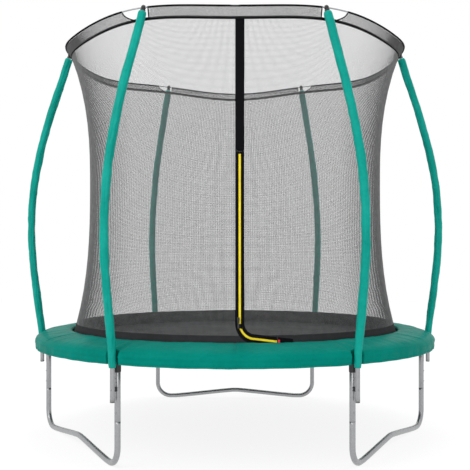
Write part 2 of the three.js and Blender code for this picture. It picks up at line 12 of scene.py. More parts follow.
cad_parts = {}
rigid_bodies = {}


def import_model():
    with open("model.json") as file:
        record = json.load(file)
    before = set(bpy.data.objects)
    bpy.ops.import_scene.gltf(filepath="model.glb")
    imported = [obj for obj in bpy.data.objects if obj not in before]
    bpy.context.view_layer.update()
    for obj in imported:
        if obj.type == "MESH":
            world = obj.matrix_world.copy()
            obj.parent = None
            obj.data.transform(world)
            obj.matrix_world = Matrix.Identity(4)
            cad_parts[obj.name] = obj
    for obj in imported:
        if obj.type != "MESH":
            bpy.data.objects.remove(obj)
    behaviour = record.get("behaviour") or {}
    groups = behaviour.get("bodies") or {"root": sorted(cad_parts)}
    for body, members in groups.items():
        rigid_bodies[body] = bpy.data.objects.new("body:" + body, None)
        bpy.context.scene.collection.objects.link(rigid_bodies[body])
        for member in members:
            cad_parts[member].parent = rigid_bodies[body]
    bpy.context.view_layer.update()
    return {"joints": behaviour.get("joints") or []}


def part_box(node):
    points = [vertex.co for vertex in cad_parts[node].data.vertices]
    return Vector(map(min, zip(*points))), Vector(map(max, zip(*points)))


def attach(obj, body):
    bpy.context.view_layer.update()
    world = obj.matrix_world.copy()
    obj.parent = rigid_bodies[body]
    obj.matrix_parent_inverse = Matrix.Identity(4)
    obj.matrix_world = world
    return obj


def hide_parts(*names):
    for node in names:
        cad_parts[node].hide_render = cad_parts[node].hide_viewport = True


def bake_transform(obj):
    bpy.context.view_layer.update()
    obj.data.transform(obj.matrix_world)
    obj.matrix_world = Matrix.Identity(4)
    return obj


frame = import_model()
ROOT = frame["joints"][0]["parent"]

# ---------- driving sizes, in metres, as in the CAD ----------

FRAME_R, TUBE_R, RAIL_Z = 1.204, 0.016, 0.592
SOCKET_Z, LEG_JOINT_Z = 0.556, 0.247
BASE_BEND_R, BASE_RUN, BASE_RISE = 0.100, 0.040, 0.043
COLLAR_R, COLLAR_TOP, COLLAR_BOTTOM = 0.0179, 0.550, 0.500
POLE_R, POLE_LINE_R, POLE_FOOT_Z = 0.0125, 1.246, 0.420
POLE_BEND_Z, POLE_BOW, BOW_SHAPE = 0.560, 0.150, 1.15
LEAN_Z, LEAN_SHAPE = 1.150, 1.3
SPACER_ABOVE_FOOT = 0.064
SLEEVE_BOTTOM_Z, SLEEVE_TOP_Z = 0.527, 2.372
RING_R, RING_Z, RING_SAG, ROD_R = 1.068, 2.398, 0.027, 0.004
MAT_R, MAT_TOP, MAT_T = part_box("mat")[1].x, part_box("mat")[1].z, 0.003
SPRING_COUNT = 48
PAD_IN, PAD_OUT = 1.030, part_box("safety_pad")[1].x
PAD_UNDER, PAD_CORNER, PAD_SKIRT = 0.6115, 0.622, 0.543
NET_LOW_R, NET_LOW_Z, WAIST_R, WAIST_Z = 1.025, 0.606, 0.921, 1.560
LOWER_FLARE, UPPER_FLARE = 2.8, 2.6
BAND_R, BAND_Z, BAND_TOP = 1.034, 2.344, 2.3925
ZIP_X, ZIP_TOP, ZIP_CORNER_R, ZIP_CORNER_Z = 0.025, 1.650, 0.080, 0.745
ZIP_END_X, ZIP_END_Z, TAPE_HALF, TAPE_END_X = 0.217, 0.650, 0.024, 0.303

# name: angle, sideways lean of the pole's top, how much lower its foot is
STATIONS = {
    "right": (0, 0.0, 0.0),
    "rear_right": (60, 0.030, 0.0),
    "rear_left": (120, -0.030, 0.0),
    "left": (180, 0.0, 0.0),
    "front_left": (240, 0.062, 0.068),
    "front_right": (300, -0.062, 0.068),
}
SECTOR = math.radians(60)


# ---------- camera ----------

def add_camera():
    data = bpy.data.cameras.new("camera")
    data.sensor_width = 36
    data.lens = 59.5
    data.shift_y = 0.0509
    camera = bpy.data.objects.new("camera", data)
    camera.location = (0, -5.0235, 1.0802)
    camera.rotation_euler = (math.radians(90), 0, 0)
    bpy.context.scene.collection.objects.link(camera)
    bpy.context.scene.camera = camera


add_camera()


# ---------- materials ----------

class Finish:
    """A procedural material: its shader, and short ways to add nodes in front of it."""

    def __init__(self, name, **sockets):
        self.material = bpy.data.materials.new(name)
        self.material.use_nodes = True
        self.nodes = self.material.node_tree.nodes
        self.links = self.material.node_tree.links
        self.shader = self.nodes["Principled BSDF"]
        for socket, value in sockets.items():
            self.shader.inputs[socket.replace("_", " ")].default_value = value
        self.place = self.nodes.new("ShaderNodeTexCoord")

    def put(self, value, socket):
        if isinstance(value, bpy.types.NodeSocket):
            self.links.new(value, socket)
        else:
            socket.default_value = value

    def math(self, operation, *values):
        node = self.nodes.new("ShaderNodeMath")
        node.operation = operation
        for value, socket in zip(values, node.inputs):
            self.put(value, socket)
        return node.outputs[0]

    def scaled(self, scale, kind="Object"):
        node = self.nodes.new("ShaderNodeMapping")
        node.inputs["Scale"].default_value = scale
        self.links.new(self.place.outputs[kind], node.inputs["Vector"])
        return node.outputs[0]

    def noise(self, vector, scale, detail=3.0, roughness=0.5):
        node = self.nodes.new("ShaderNodeTexNoise")
        self.links.new(vector, node.inputs["Vector"])
        node.inputs["Scale"].default_value = scale
        node.inputs["Detail"].default_value = detail
        node.inputs["Roughness"].default_value = roughness
        return node.outputs["Fac"]

    def cells(self, vector, scale, output="Color"):
        node = self.nodes.new("ShaderNodeTexVoronoi")
        self.links.new(vector, node.inputs["Vector"])
        node.inputs["Scale"].default_value = scale
        return node.outputs[output]

    def ramp(self, factor, *stops):
        node = self.nodes.new("ShaderNodeValToRGB")
        self.links.new(factor, node.inputs["Fac"])
        elements = node.color_ramp.elements
        while len(elements) < len(stops):
            elements.new(0.5)
        for element, (position, colour) in zip(elements, stops):
            element.position = position
            element.color = (*colour, 1) if len(colour) == 3 else colour
        return node.outputs["Color"]

    def grey_ramp(self, factor, low, high, start=0.3, end=0.7):
        return self.ramp(factor, (start, (low,) * 3), (end, (high,) * 3))

    def mix(self, factor, first, second):
        node = self.nodes.new("ShaderNodeMix")
        node.data_type = "RGBA"
        self.put(factor, node.inputs["Factor"])
        for value, socket in ((first, node.inputs[6]), (second, node.inputs[7])):
            self.put((*value, 1) if isinstance(value, tuple) and len(value) == 3 else value, socket)
        return node.outputs[2]

    def bump(self, height, strength, distance, normal=None):
        node = self.nodes.new("ShaderNodeBump")
        node.inputs["Strength"].default_value = strength
        node.inputs["Distance"].default_value = distance
        self.links.new(height, node.inputs["Height"])
        if normal is not None:
            self.links.new(normal, node.inputs["Normal"])
        return node.outputs["Normal"]

    def weave(self, pitch_u, pitch_v, kind="UV"):
        """Over and under of a plain weave, from 0 to 1, on coordinates in metres."""
        split = self.nodes.new("ShaderNodeSeparateXYZ")
        self.links.new(self.place.outputs[kind], split.inputs[0])
        u = self.math("SINE", self.math("MULTIPLY", split.outputs[0], 2 * math.pi / pitch_u))
        v = self.math("SINE", self.math("MULTIPLY", split.outputs[1], 2 * math.pi / pitch_v))
        return self.math("MULTIPLY_ADD", self.math("MULTIPLY", u, v), 0.5, 0.5)

    def finish(self, colour=None, roughness=None, normal=None):
        if colour is not None:
            self.links.new(colour, self.shader.inputs["Base Color"])
        if roughness is not None:
            self.links.new(roughness, self.shader.inputs["Roughness"])
        if normal is not None:
            self.links.new(normal, self.shader.inputs["Normal"])
        return self.material


def galvanised_steel(name, dark, light, rough=(0.28, 0.42)):
    f = Finish(name, Metallic=0.85)
    where = f.scaled((1, 1, 1))
    spangle = f.cells(where, 130)
    cloud = f.noise(where, 9, 4)
    streak = f.noise(f.scaled((60, 60, 4)), 1.0, 3)
    grey = f.mix(f.math("MULTIPLY", spangle, 0.35), dark, light)
    grey = f.mix(f.math("MULTIPLY", cloud, 0.6), grey, light)
    return f.finish(grey, f.grey_ramp(f.math("MULTIPLY_ADD", cloud, 0.5, f.math(
        "MULTIPLY", streak, 0.5)), *rough), f.bump(streak, 0.12, 0.0004, f.bump(cloud, 0.1, 0.001)))


def moulded_plastic(name, dark, light, roughness=(0.42, 0.6), grain=900):
    f = Finish(name, Specular_IOR_Level=0.45)
    where = f.scaled((1, 1, 1))
    cloud = f.noise(where, 22, 3)
    fine = f.noise(where, grain, 2)
    return f.finish(f.ramp(cloud, (0.3, dark), (0.7, light)),
                    f.grey_ramp(cloud, *roughness), f.bump(fine, 0.25, 0.0003))


def coated_cloth(name, deep, main, pale, gloss, shine):
    """PVC-coated cloth: a smooth skin with the scrim just showing through, scuffs and dust."""
    f = Finish(name, Specular_IOR_Level=shine)
    where = f.scaled((1, 1, 1))
    cloud = f.noise(where, 5.5, 4, 0.55)
    fleck = f.noise(where, 60, 3, 0.6)
    scrim = f.weave(0.0030, 0.0030)
    colour = f.ramp(f.math("MULTIPLY_ADD", fleck, 0.3, f.math("MULTIPLY", cloud, 0.7)),
                    (0.28, deep), (0.52, main), (0.78, pale))
    crease = f.noise(f.scaled((14, 14, 30)), 1.0, 5, 0.62)
    normal = f.bump(scrim, 0.10, 0.0004, f.bump(crease, 0.30, 0.004))
    return f.finish(colour, f.grey_ramp(fleck, *gloss), normal)


def woven_strap(name, dark, light, pitch=0.0026, roughness=(0.6, 0.8)):
    f = Finish(name, Specular_IOR_Level=0.03)
    rib = f.weave(pitch, pitch * 1.6)
    cloud = f.noise(f.scaled((1, 1, 1)), 26, 4)
    colour = f.mix(rib, f.ramp(cloud, (0.3, dark), (0.75, light)), light)
    return f.finish(colour, f.grey_ramp(cloud, *roughness), f.bump(rib, 0.45, 0.0006))


def jumping_weave(name):
    """Dark polypropylene weave of the mat: fine checks, faint panel streaks, lighter dusty patches here and
    there.
    """
    f = Finish(name, Specular_IOR_Level=0.06)
    check = f.weave(0.0042, 0.0042, "Object")
    streak = f.noise(f.scaled((3, 260, 3)), 1.0, 2)
    cloud = f.noise(f.scaled((1, 1, 1)), 3.2, 4, 0.6)
    base = f.ramp(cloud, (0.25, (0.013, 0.013, 0.0135)), (0.8, (0.025, 0.025, 0.026)))
    colour = f.mix(f.math("MULTIPLY", check, 0.5), base, (0.015, 0.015, 0.016))
    colour = f.mix(f.math("MULTIPLY", streak, 0.25), colour, (0.050, 0.050, 0.052))
    return f.finish(colour, f.grey_ramp(cloud, 0.5, 0.72), f.bump(check, 0.4, 0.0009))


def net_thread(name, dark, light):
    f = Finish(name, Specular_IOR_Level=0.08)
    cloud = f.noise(f.scaled((1, 1, 1)), 34, 3)
    twist = f.noise(f.scaled((1, 1, 1)), 1500, 1)
    return f.finish(f.ramp(cloud, (0.3, dark), (0.7, light)),
                    f.grey_ramp(cloud, 0.5, 0.7), f.bump(twist, 0.1, 0.0001))


def studio_floor():
    f = Finish("studio_floor", Specular_IOR_Level=0.0, Emission_Color=(1, 1, 1, 1),
               Emission_Strength=0.86)
    cloud = f.noise(f.scaled((1, 1, 1)), 0.8, 2)
    return f.finish(f.ramp(cloud, (0.2, (0.15, 0.15, 0.15)), (0.8, (0.16, 0.16, 0.16))),
                    f.grey_ramp(cloud, 0.8, 0.9))


STEEL = galvanised_steel("galvanised_tube", (0.27, 0.275, 0.28), (0.44, 0.445, 0.455))
SPRING_STEEL = galvanised_steel("zinc_spring_wire", (0.52, 0.53, 0.55), (0.76, 0.77, 0.79),
                                (0.22, 0.36))
ROD = galvanised_steel("ring_rod_grey", (0.30, 0.31, 0.32), (0.44, 0.45, 0.46), (0.4, 0.55))
BLACK_PLASTIC = moulded_plastic("moulded_black", (0.010, 0.010, 0.011), (0.022, 0.022, 0.024))
RED_PLASTIC = moulded_plastic("moulded_red", (0.70, 0.010, 0.022), (0.85, 0.02, 0.04))
PAD_VINYL = coated_cloth("pad_vinyl", (0.0003, 0.150, 0.116), (0.0005, 0.185, 0.145),
                         (0.002, 0.215, 0.172), (0.34, 0.46), 0.014)
SLEEVE_VINYL = coated_cloth("sleeve_vinyl", (0.002, 0.215, 0.172), (0.004, 0.275, 0.222),
                            (0.010, 0.330, 0.272), (0.26, 0.40), 0.05)
WEBBING = woven_strap("black_webbing", (0.003, 0.003, 0.0035), (0.009, 0.009, 0.010))
HEM_CLOTH = woven_strap("dark_hem_cloth", (0.017, 0.0175, 0.018), (0.031, 0.0315, 0.033), 0.002)
TAPE_CLOTH = woven_strap("zip_tape_black", (0.002, 0.002, 0.0025), (0.006, 0.006, 0.007), 0.0018)
YELLOW = moulded_plastic("zip_coil_yellow", (0.78, 0.60, 0.006), (0.90, 0.74, 0.02), (0.35, 0.5))
MAT_WEAVE = jumping_weave("jumping_mat_weave")
# The net and band threads are black. The net's grey colour is painted sheen that stands in for the threads'
# gloss under the front light. The band's darker grey holds less painted sheen.
NET_THREAD_PAINTED_SHEEN = net_thread("net_thread_painted_sheen", (0.13, 0.13, 0.132), (0.19, 0.19, 0.193))
BAND_THREAD_LESS_SHEEN = net_thread("band_thread_less_painted_sheen", (0.07, 0.07, 0.071), (0.11, 0.11, 0.112))
SEAM_GREEN = net_thread("seam_thread_green", (0.001, 0.13, 0.11), (0.004, 0.19, 0.16))
SEAM_BLACK = net_thread("seam_thread_black", (0.012, 0.012, 0.013), (0.05, 0.05, 0.052))


# ---------- mesh building ----------

def new_object(name, mesh, body=None):
    thing = bpy.data.objects.new(name, mesh)
    bpy.context.scene.collection.objects.link(thing)
    if body:
        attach(thing, body)
    return thing


def placed(name, mesh, stands_for):
    """A finished piece on the frame, in place of the CAD node that it stands for."""
    thing = new_object(name, mesh, ROOT)
    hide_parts(stands_for)
    return thing


def shaded(mesh, material, smooth=True):
    mesh.materials.clear()
    mesh.materials.append(material)
    mesh.polygons.foreach_set("use_smooth", [smooth] * len(mesh.polygons))
    mesh.update()
    return mesh


def turned_out(mesh):
    """Makes every closed shell of a mesh face outwards."""
    bm = bmesh.new()
    bm.from_mesh(mesh)
    bmesh.ops.recalc_face_normals(bm, faces=bm.faces)
    bm.to_mesh(mesh)
    bm.free()
    return mesh


def lofted(rings, material, loop=False, caps=True, name="piece", smooth=True):
    """Skin over closed rings of points, with a UV map in metres: around the ring, and along."""
    rings = np.asarray(rings, float)
    n, m = rings.shape[:2]
    rows = n if loop else n - 1
    i, j = np.meshgrid(np.arange(rows), np.arange(m), indexing="ij")
    i2, j2 = (i + 1) % n, (j + 1) % m
    quads = np.stack([i * m + j, i * m + j2, i2 * m + j2, i2 * m + j], -1).reshape(-1, 4)
    faces = quads.tolist()
    if caps and not loop:
        faces.append(list(range(m))[::-1])
        faces.append([(n - 1) * m + k for k in range(m)])
    mesh = bpy.data.meshes.new(name)
    mesh.from_pydata(rings.reshape(-1, 3).tolist(), [], faces)
    side = np.linalg.norm(np.roll(rings, -1, 1) - rings, axis=2).mean(0)
    u = np.concatenate([[0], np.cumsum(side)])
    step = np.linalg.norm(np.roll(rings, -1, 0) - rings, axis=2).mean(1)
    v = np.concatenate([[0], np.cumsum(step)])
    corner_u = np.stack([u[j], u[j + 1], u[j + 1], u[j]], -1).reshape(-1)
    corner_v = np.stack([v[i], v[i], v[i + 1], v[i + 1]], -1).reshape(-1)
    uv = np.zeros((len(mesh.loops), 2), np.float32)
    uv[:len(corner_u), 0] = corner_u
    uv[:len(corner_v), 1] = corner_v
    mesh.uv_layers.new(name="UVMap").data.foreach_set("uv", uv.ravel())
    shaded(mesh, material, smooth)
    if caps and not loop and smooth:
        flat = [True] * len(quads) + [False, False]
        mesh.polygons.foreach_set("use_smooth", flat)
    return turned_out(mesh)


def route_frames(points, loop=False):
    """Tangent, and two directions across, at each point of a route, without twist."""
    points = np.asarray(points, float)
    if loop:
        tangent = np.roll(points, -1, 0) - np.roll(points, 1, 0)
    else:
        tangent = np.gradient(points, axis=0)
    tangent /= np.linalg.norm(tangent, axis=1)[:, None]
    first = np.array([0, 0, 1.0]) if abs(tangent[0][2]) < 0.8 else np.array([1.0, 0, 0])
    across = []
    for t in tangent:
        first = first - t * first.dot(t)
        first /= np.linalg.norm(first)
        across.append(first)
    across = np.array(across)
    return tangent, across, np.cross(tangent, across)


def tube_rings(points, radius, sides=20, loop=False):
    _, a, b = route_frames(points, loop)
    turn = np.linspace(0, 2 * math.pi, sides, endpoint=False)
    radius = np.broadcast_to(np.asarray(radius, float), (len(points),))
    circle = np.cos(turn)[None, :, None] * a[:, None] + np.sin(turn)[None, :, None] * b[:, None]
    return np.asarray(points, float)[:, None] + circle * radius[:, None, None]


def tube(points, radius, material, sides=20, loop=False):
    return lofted(tube_rings(points, radius, sides, loop), material, loop)


def turned_piece(profile, centre, axis, material, sides=28):
    """A piece turned on a lathe: profile of (distance along the axis, radius)."""
    axis = Vector(axis).normalized()
    points = [np.array(centre) + np.array(axis) * along for along, _ in profile]
    a = Vector((0, 0, 1)) if abs(axis.z) < 0.8 else Vector((1, 0, 0))
    a = np.array((a - axis * a.dot(axis)).normalized())
    b = np.cross(np.array(axis), a)
    turn = np.linspace(0, 2 * math.pi, sides, endpoint=False)
    circle = np.cos(turn)[:, None] * a + np.sin(turn)[:, None] * b
    rings = [p + circle * r for p, (_, r) in zip(points, profile)]
    return lofted(rings, material)


def joined(meshes, name):
    """Several meshes made into one, keeping each one's materials and UV map."""
    things = [bpy.data.objects.new("part", mesh) for mesh in meshes]
    for thing in things:
        bpy.context.scene.collection.objects.link(thing)
    if len(things) > 1:
        with bpy.context.temp_override(active_object=things[0], selected_objects=things,
                                       selected_editable_objects=things):
            bpy.ops.object.join()
    mesh = things[0].data
    bpy.data.objects.remove(things[0])
    mesh.name = name
    return mesh


def spun(mesh, degrees):
    """A copy of a mesh turned about the object's upright axis."""
    copy = mesh.copy()
    copy.transform(Matrix.Rotation(math.radians(degrees), 4, "Z"))
    return copy


# ---------- geometry node trees ----------

def empty_tree(name, *inputs):
    tree = bpy.data.node_groups.new(name, "GeometryNodeTree")
    face = tree.interface
    face.new_socket(name="Geometry", in_out="INPUT", socket_type="NodeSocketGeometry")
    for label, kind, value in inputs:
        socket = face.new_socket(name=label, in_out="INPUT", socket_type="NodeSocket" + kind)
        if value is not None:
            socket.default_value = value
    face.new_socket(name="Geometry", in_out="OUTPUT", socket_type="NodeSocketGeometry")
    given = tree.nodes.new("NodeGroupInput")
    result = tree.nodes.new("NodeGroupOutput")
    return tree, given.outputs, result.inputs


def chain(tree, source, *steps):
    """Joins nodes one after the other by their geometry sockets. A step is a type and its inputs."""
    for kind, values in steps:
        node = tree.nodes.new(kind)
        for label, value in values.items():
            if isinstance(value, bpy.types.NodeSocket):
                tree.links.new(value, node.inputs[label])
            else:
                node.inputs[label].default_value = value
        if source is not None:
            tree.links.new(source, node.inputs[0])
        source = node.outputs[0]
    return source


def strand_tree():
    """Wires of a mesh made into round strands: for net threads, springs, rings and cords."""
    tree, given, result = empty_tree("strands", ("Radius", "Float", 0.001), ("Sides", "Int", 4),
                                     ("Material", "Material", None))
    circle = tree.nodes.new("GeometryNodeCurvePrimitiveCircle")
    tree.links.new(given["Sides"], circle.inputs["Resolution"])
    tree.links.new(given["Radius"], circle.inputs["Radius"])
    out = chain(tree, given["Geometry"],
                ("GeometryNodeMeshToCurve", {}),
                ("GeometryNodeCurveToMesh", {"Profile Curve": circle.outputs["Curve"],
                                             "Fill Caps": True}),
                ("GeometryNodeRealizeInstances", {}),
                ("GeometryNodeSetMaterial", {"Material": given["Material"]}))
    tree.links.new(out, result[0])
    return tree


def ring_array_tree():
    """A unit piece repeated round the upright axis: for springs, stitches, bolts and eyelets."""
    tree, given, result = empty_tree("ring_array", ("Count", "Int", 6), ("Step", "Float", 1.0),
                                     ("First", "Float", 0.0), ("Wander", "Float", 0.0),
                                     ("Seed", "Int", 1), ("Material", "Material", None))
    line = tree.nodes.new("GeometryNodeMeshLine")
    tree.links.new(given["Count"], line.inputs["Count"])
    line.inputs["Offset"].default_value = (0, 0, 0)
    index = tree.nodes.new("GeometryNodeInputIndex")
    angle = tree.nodes.new("ShaderNodeMath")
    angle.operation = "MULTIPLY_ADD"
    tree.links.new(index.outputs[0], angle.inputs[0])
    tree.links.new(given["Step"], angle.inputs[1])
    tree.links.new(given["First"], angle.inputs[2])
    shake = tree.nodes.new("FunctionNodeRandomValue")
    shake.data_type = "FLOAT"
    low = tree.nodes.new("ShaderNodeMath")
    low.operation = "MULTIPLY"
    low.inputs[1].default_value = -1
    tree.links.new(given["Wander"], low.inputs[0])
    tree.links.new(low.outputs[0], shake.inputs[2])
    tree.links.new(given["Wander"], shake.inputs[3])
    tree.links.new(given["Seed"], shake.inputs["Seed"])
    total = tree.nodes.new("ShaderNodeMath")
    tree.links.new(angle.outputs[0], total.inputs[0])
    tree.links.new(shake.outputs[1], total.inputs[1])
    turn = tree.nodes.new("ShaderNodeCombineXYZ")
    tree.links.new(total.outputs[0], turn.inputs[2])
    out = chain(tree, line.outputs[0],
                ("GeometryNodeInstanceOnPoints", {"Instance": given["Geometry"],
                                                  "Rotation": turn.outputs[0]}),
                ("GeometryNodeRealizeInstances", {}),
                ("GeometryNodeSetMaterial", {"Material": given["Material"]}))
    tree.links.new(out, result[0])
    return tree


def row_tree():
    """A unit piece repeated along wires at an even pitch: for stitches, zip teeth and lacing."""
    tree, given, result = empty_tree("row", ("Unit", "Object", None), ("Pitch", "Float", 0.01),
                                     ("Material", "Material", None))
    unit = tree.nodes.new("GeometryNodeObjectInfo")
    tree.links.new(given["Unit"], unit.inputs["Object"])
    curve = chain(tree, given["Geometry"], ("GeometryNodeMeshToCurve", {}))
    points = tree.nodes.new("GeometryNodeCurveToPoints")
    points.mode = "LENGTH"
    tree.links.new(curve, points.inputs[0])
    tree.links.new(given["Pitch"], points.inputs["Length"])
    out = chain(tree, points.outputs[0],
                ("GeometryNodeInstanceOnPoints", {"Instance": unit.outputs["Geometry"],
                                                  "Rotation": points.outputs["Rotation"]}),
                ("GeometryNodeRealizeInstances", {}),
                ("GeometryNodeSetMaterial", {"Material": given["Material"]}))
    tree.links.new(out, result[0])
    return tree


def grown(mesh, tree, smooth=True, **inputs):
    """The plain mesh that a tree makes out of a source mesh."""
    holder = new_object("holder", mesh)
    modifier = holder.modifiers.new("grow", "NODES")
    modifier.node_group = tree
    for socket in tree.interface.items_tree:
        if socket.in_out == "INPUT" and socket.name in inputs:
            modifier[socket.identifier] = inputs[socket.name]
    bpy.context.view_layer.update()
    graph = bpy.context.evaluated_depsgraph_get()
    made = bpy.data.meshes.new_from_object(holder.evaluated_get(graph), depsgraph=graph)
    holder.modifiers.remove(modifier)
    bpy.data.objects.remove(holder)
    made.polygons.foreach_set("use_smooth", [smooth] * len(made.polygons))
    return made


STRANDS, RING_ARRAY, ROW = strand_tree(), ring_array_tree(), row_tree()


def wires(routes):
    """A mesh of edges along each route. A route is its points, and whether it closes."""
    vertices, edges = [], []
    for points, closed in routes:
        start = len(vertices)
        vertices.extend(points)
        last = len(vertices)
        edges.extend((k, k + 1) for k in range(start, last - 1))
        if closed:
            edges.append((last - 1, start))
    mesh = bpy.data.meshes.new("wires")
    mesh.from_pydata([tuple(map(float, p)) for p in vertices], edges, [])
    return mesh


def strands(routes, radius, sides, material):
    return grown(wires(routes), STRANDS, Radius=radius, Sides=sides, Material=material)


def ring_of(mesh, count, material, first=0.0, step=None, wander=0.0, seed=1):
    return grown(mesh, RING_ARRAY, Count=count, First=first, Wander=wander, Seed=seed,
                 Step=2 * math.pi / count if step is None else step, Material=material)


def row_of(unit_mesh, routes, pitch, material):
    unit = new_object("unit", unit_mesh)
    made = grown(wires(routes), ROW, Unit=unit, Pitch=pitch, Material=material)
    bpy.data.objects.remove(unit)
    return made


def stitch_unit(length, width, height):
    """One stitch along Z, its two ends dipping into the cloth, lying on the plane normal to X."""
    points = [(-0.4 * height, 0, -length / 2), (0.5 * height, 0, -length / 3),
              (0.5 * height, 0, length / 3), (-0.4 * height, 0, length / 2)]
    return tube(points, width / 2, SEAM_BLACK, 5)


# ---------- shapes shared by several pieces ----------

def polar(radius, angle, z):
    return (radius * math.cos(angle), radius * math.sin(angle), z)


def station_point(angle, x, y, z):
    """A point given outwards (x) and anticlockwise (y) at a station."""
    c, s = math.cos(math.radians(angle)), math.sin(math.radians(angle))
    return (x * c - y * s, x * s + y * c, z)


def pole_point(station, z):
    angle, lean, _ = STATIONS[station]
    rise = max(0.0, (z - POLE_BEND_Z) / (RING_Z - POLE_BEND_Z))
    bow = POLE_BOW * math.sin(math.pi * min(rise, 1.0)) ** BOW_SHAPE if rise else 0.0
    tilt = max(0.0, (z - LEAN_Z) / (RING_Z - LEAN_Z))
    side = math.copysign(abs(lean) * tilt ** LEAN_SHAPE, lean) if tilt else 0.0
    top = math.sqrt(RING_R ** 2 - lean ** 2)
    return station_point(angle, POLE_LINE_R + (top - POLE_LINE_R) * rise + bow, side, z)


def net_radius(z):
    if z > BAND_Z:
        return BAND_R + (RING_R - BAND_R) * (z - BAND_Z) / (RING_Z - BAND_Z)
    if z > WAIST_Z:
        return WAIST_R + (BAND_R - WAIST_R) * ((z - WAIST_Z) / (BAND_Z - WAIST_Z)) ** UPPER_FLARE
    return WAIST_R + (NET_LOW_R - WAIST_R) * ((WAIST_Z - z) / (WAIST_Z - NET_LOW_Z)) ** LOWER_FLARE


def sag(angle, z):
    """How far the ring and the net's upper part hang down, most of all midway between poles."""
    share = min(1.0, max(0.0, (z - WAIST_Z) / (BAND_Z - WAIST_Z)))
    return RING_SAG * (1 - math.cos(6 * angle)) / 2 * share ** 2


def net_point(angle, z, out=0.0):
    return polar(net_radius(z) + out, angle, z - sag(angle, z))


def front_point(x, z, out=0.0):
    """A point of the net's front, given by its distance right of the middle."""
    radius = net_radius(z) + out
    return (x, -math.sqrt(radius ** 2 - x ** 2), z - sag(math.asin(x / radius) - math.pi / 2, z))


def zip_route(offset=0.0, top=ZIP_TOP, end=ZIP_END_X):
    """The zip's line, down and then round the corner, moved sideways by an offset."""
    radius = ZIP_CORNER_R + offset
    centre = ZIP_X + ZIP_CORNER_R
    corners = [(ZIP_X - offset, top), (ZIP_X - offset, ZIP_CORNER_Z)]
    for k in range(1, 13):
        a = math.radians(180 + 90 * k / 12)
        corners.append((centre + radius * math.cos(a), ZIP_CORNER_Z + radius * math.sin(a)))
    slope = (ZIP_END_Z - (ZIP_CORNER_Z - ZIP_CORNER_R)) / (ZIP_END_X - centre)
    corners.append((end, ZIP_CORNER_Z - radius + slope * (end - centre)))
    return corners


def resampled(corners, count):
    corners = np.asarray(corners, float)
    length = np.concatenate([[0], np.cumsum(np.linalg.norm(np.diff(corners, axis=0), axis=1))])
    where = np.linspace(0, length[-1], count)
    return np.stack([np.interp(where, length, corners[:, k]) for k in range(corners.shape[1])], 1)


# ---------- steel frame ----------

def rail_mesh(angle):
    """One 60 degree rail with its leg socket, welded where they meet."""
    arc = [polar(FRAME_R, math.radians(angle) + SECTOR * k / 44, RAIL_Z) for k in range(45)]
    gap = 0.0006 / FRAME_R
    arc[0] = polar(FRAME_R, math.radians(angle) + gap, RAIL_Z)
    arc[-1] = polar(FRAME_R, math.radians(angle) + SECTOR - gap, RAIL_Z)
    seat = math.radians(angle)
    foot = [polar(FRAME_R, seat, z) for z in np.linspace(SOCKET_Z, RAIL_Z - TUBE_R * 0.5, 6)]
    bead = [(math.cos(a) * (TUBE_R + 0.0006), math.sin(a) * (TUBE_R + 0.0006),
             RAIL_Z - 0.014 + 0.0105 * math.cos(a) ** 2 - 0.004)
            for a in np.linspace(0, 2 * math.pi, 48, endpoint=False)]
    centre = polar(FRAME_R, seat, 0)
    bead = [(x + centre[0], y + centre[1], z) for x, y, z in bead]
    weld = tube(bead, [0.0021 + 0.0005 * math.sin(k * 2.1) for k in range(48)], STEEL, 8, True)
    collar = tube([polar(FRAME_R, seat + t, RAIL_Z) for t in np.linspace(-0.030, 0.030, 7)],
                  [TUBE_R + 0.0004, TUBE_R + 0.0014] + [TUBE_R + 0.0016] * 3
                  + [TUBE_R + 0.0014, TUBE_R + 0.0004], STEEL, 28)
    return joined([tube(arc, TUBE_R, STEEL, 28), tube(foot, TUBE_R, STEEL, 28), weld, collar],
                  "frame_rail")


def base_mesh(angle):
    """A bent W-shaped base tube: two uprights, two ground runs and a lifted middle."""
    reach, depth = FRAME_R * math.sin(SECTOR / 2), FRAME_R * math.cos(SECTOR / 2)
    half = [(reach, z) for z in np.linspace(LEG_JOINT_Z - 0.0006, TUBE_R + BASE_BEND_R, 10)]
    for k in range(1, 15):
        a = math.radians(90 * k / 14)
        half.append((reach - BASE_BEND_R * (1 - math.cos(a)),
                     TUBE_R + BASE_BEND_R * (1 - math.sin(a))))
    start = reach - BASE_BEND_R - BASE_RUN
    half += [(start + BASE_RUN * (1 - k / 4), TUBE_R) for k in range(1, 5)]
    for k in range(1, 23):
        t = k / 22
        ease = t * t * (3 - 2 * t)
        share = 0.22 * ease + 0.78 * min(1.0, t * 1.04)
        half.append((start * (1 - t), TUBE_R + BASE_RISE * share))
    route = [(depth, -y, z) for y, z in half] + [(depth, y, z) for y, z in half[::-1][1:]]
    return spun(tube(route, TUBE_R, STEEL, 24), angle)


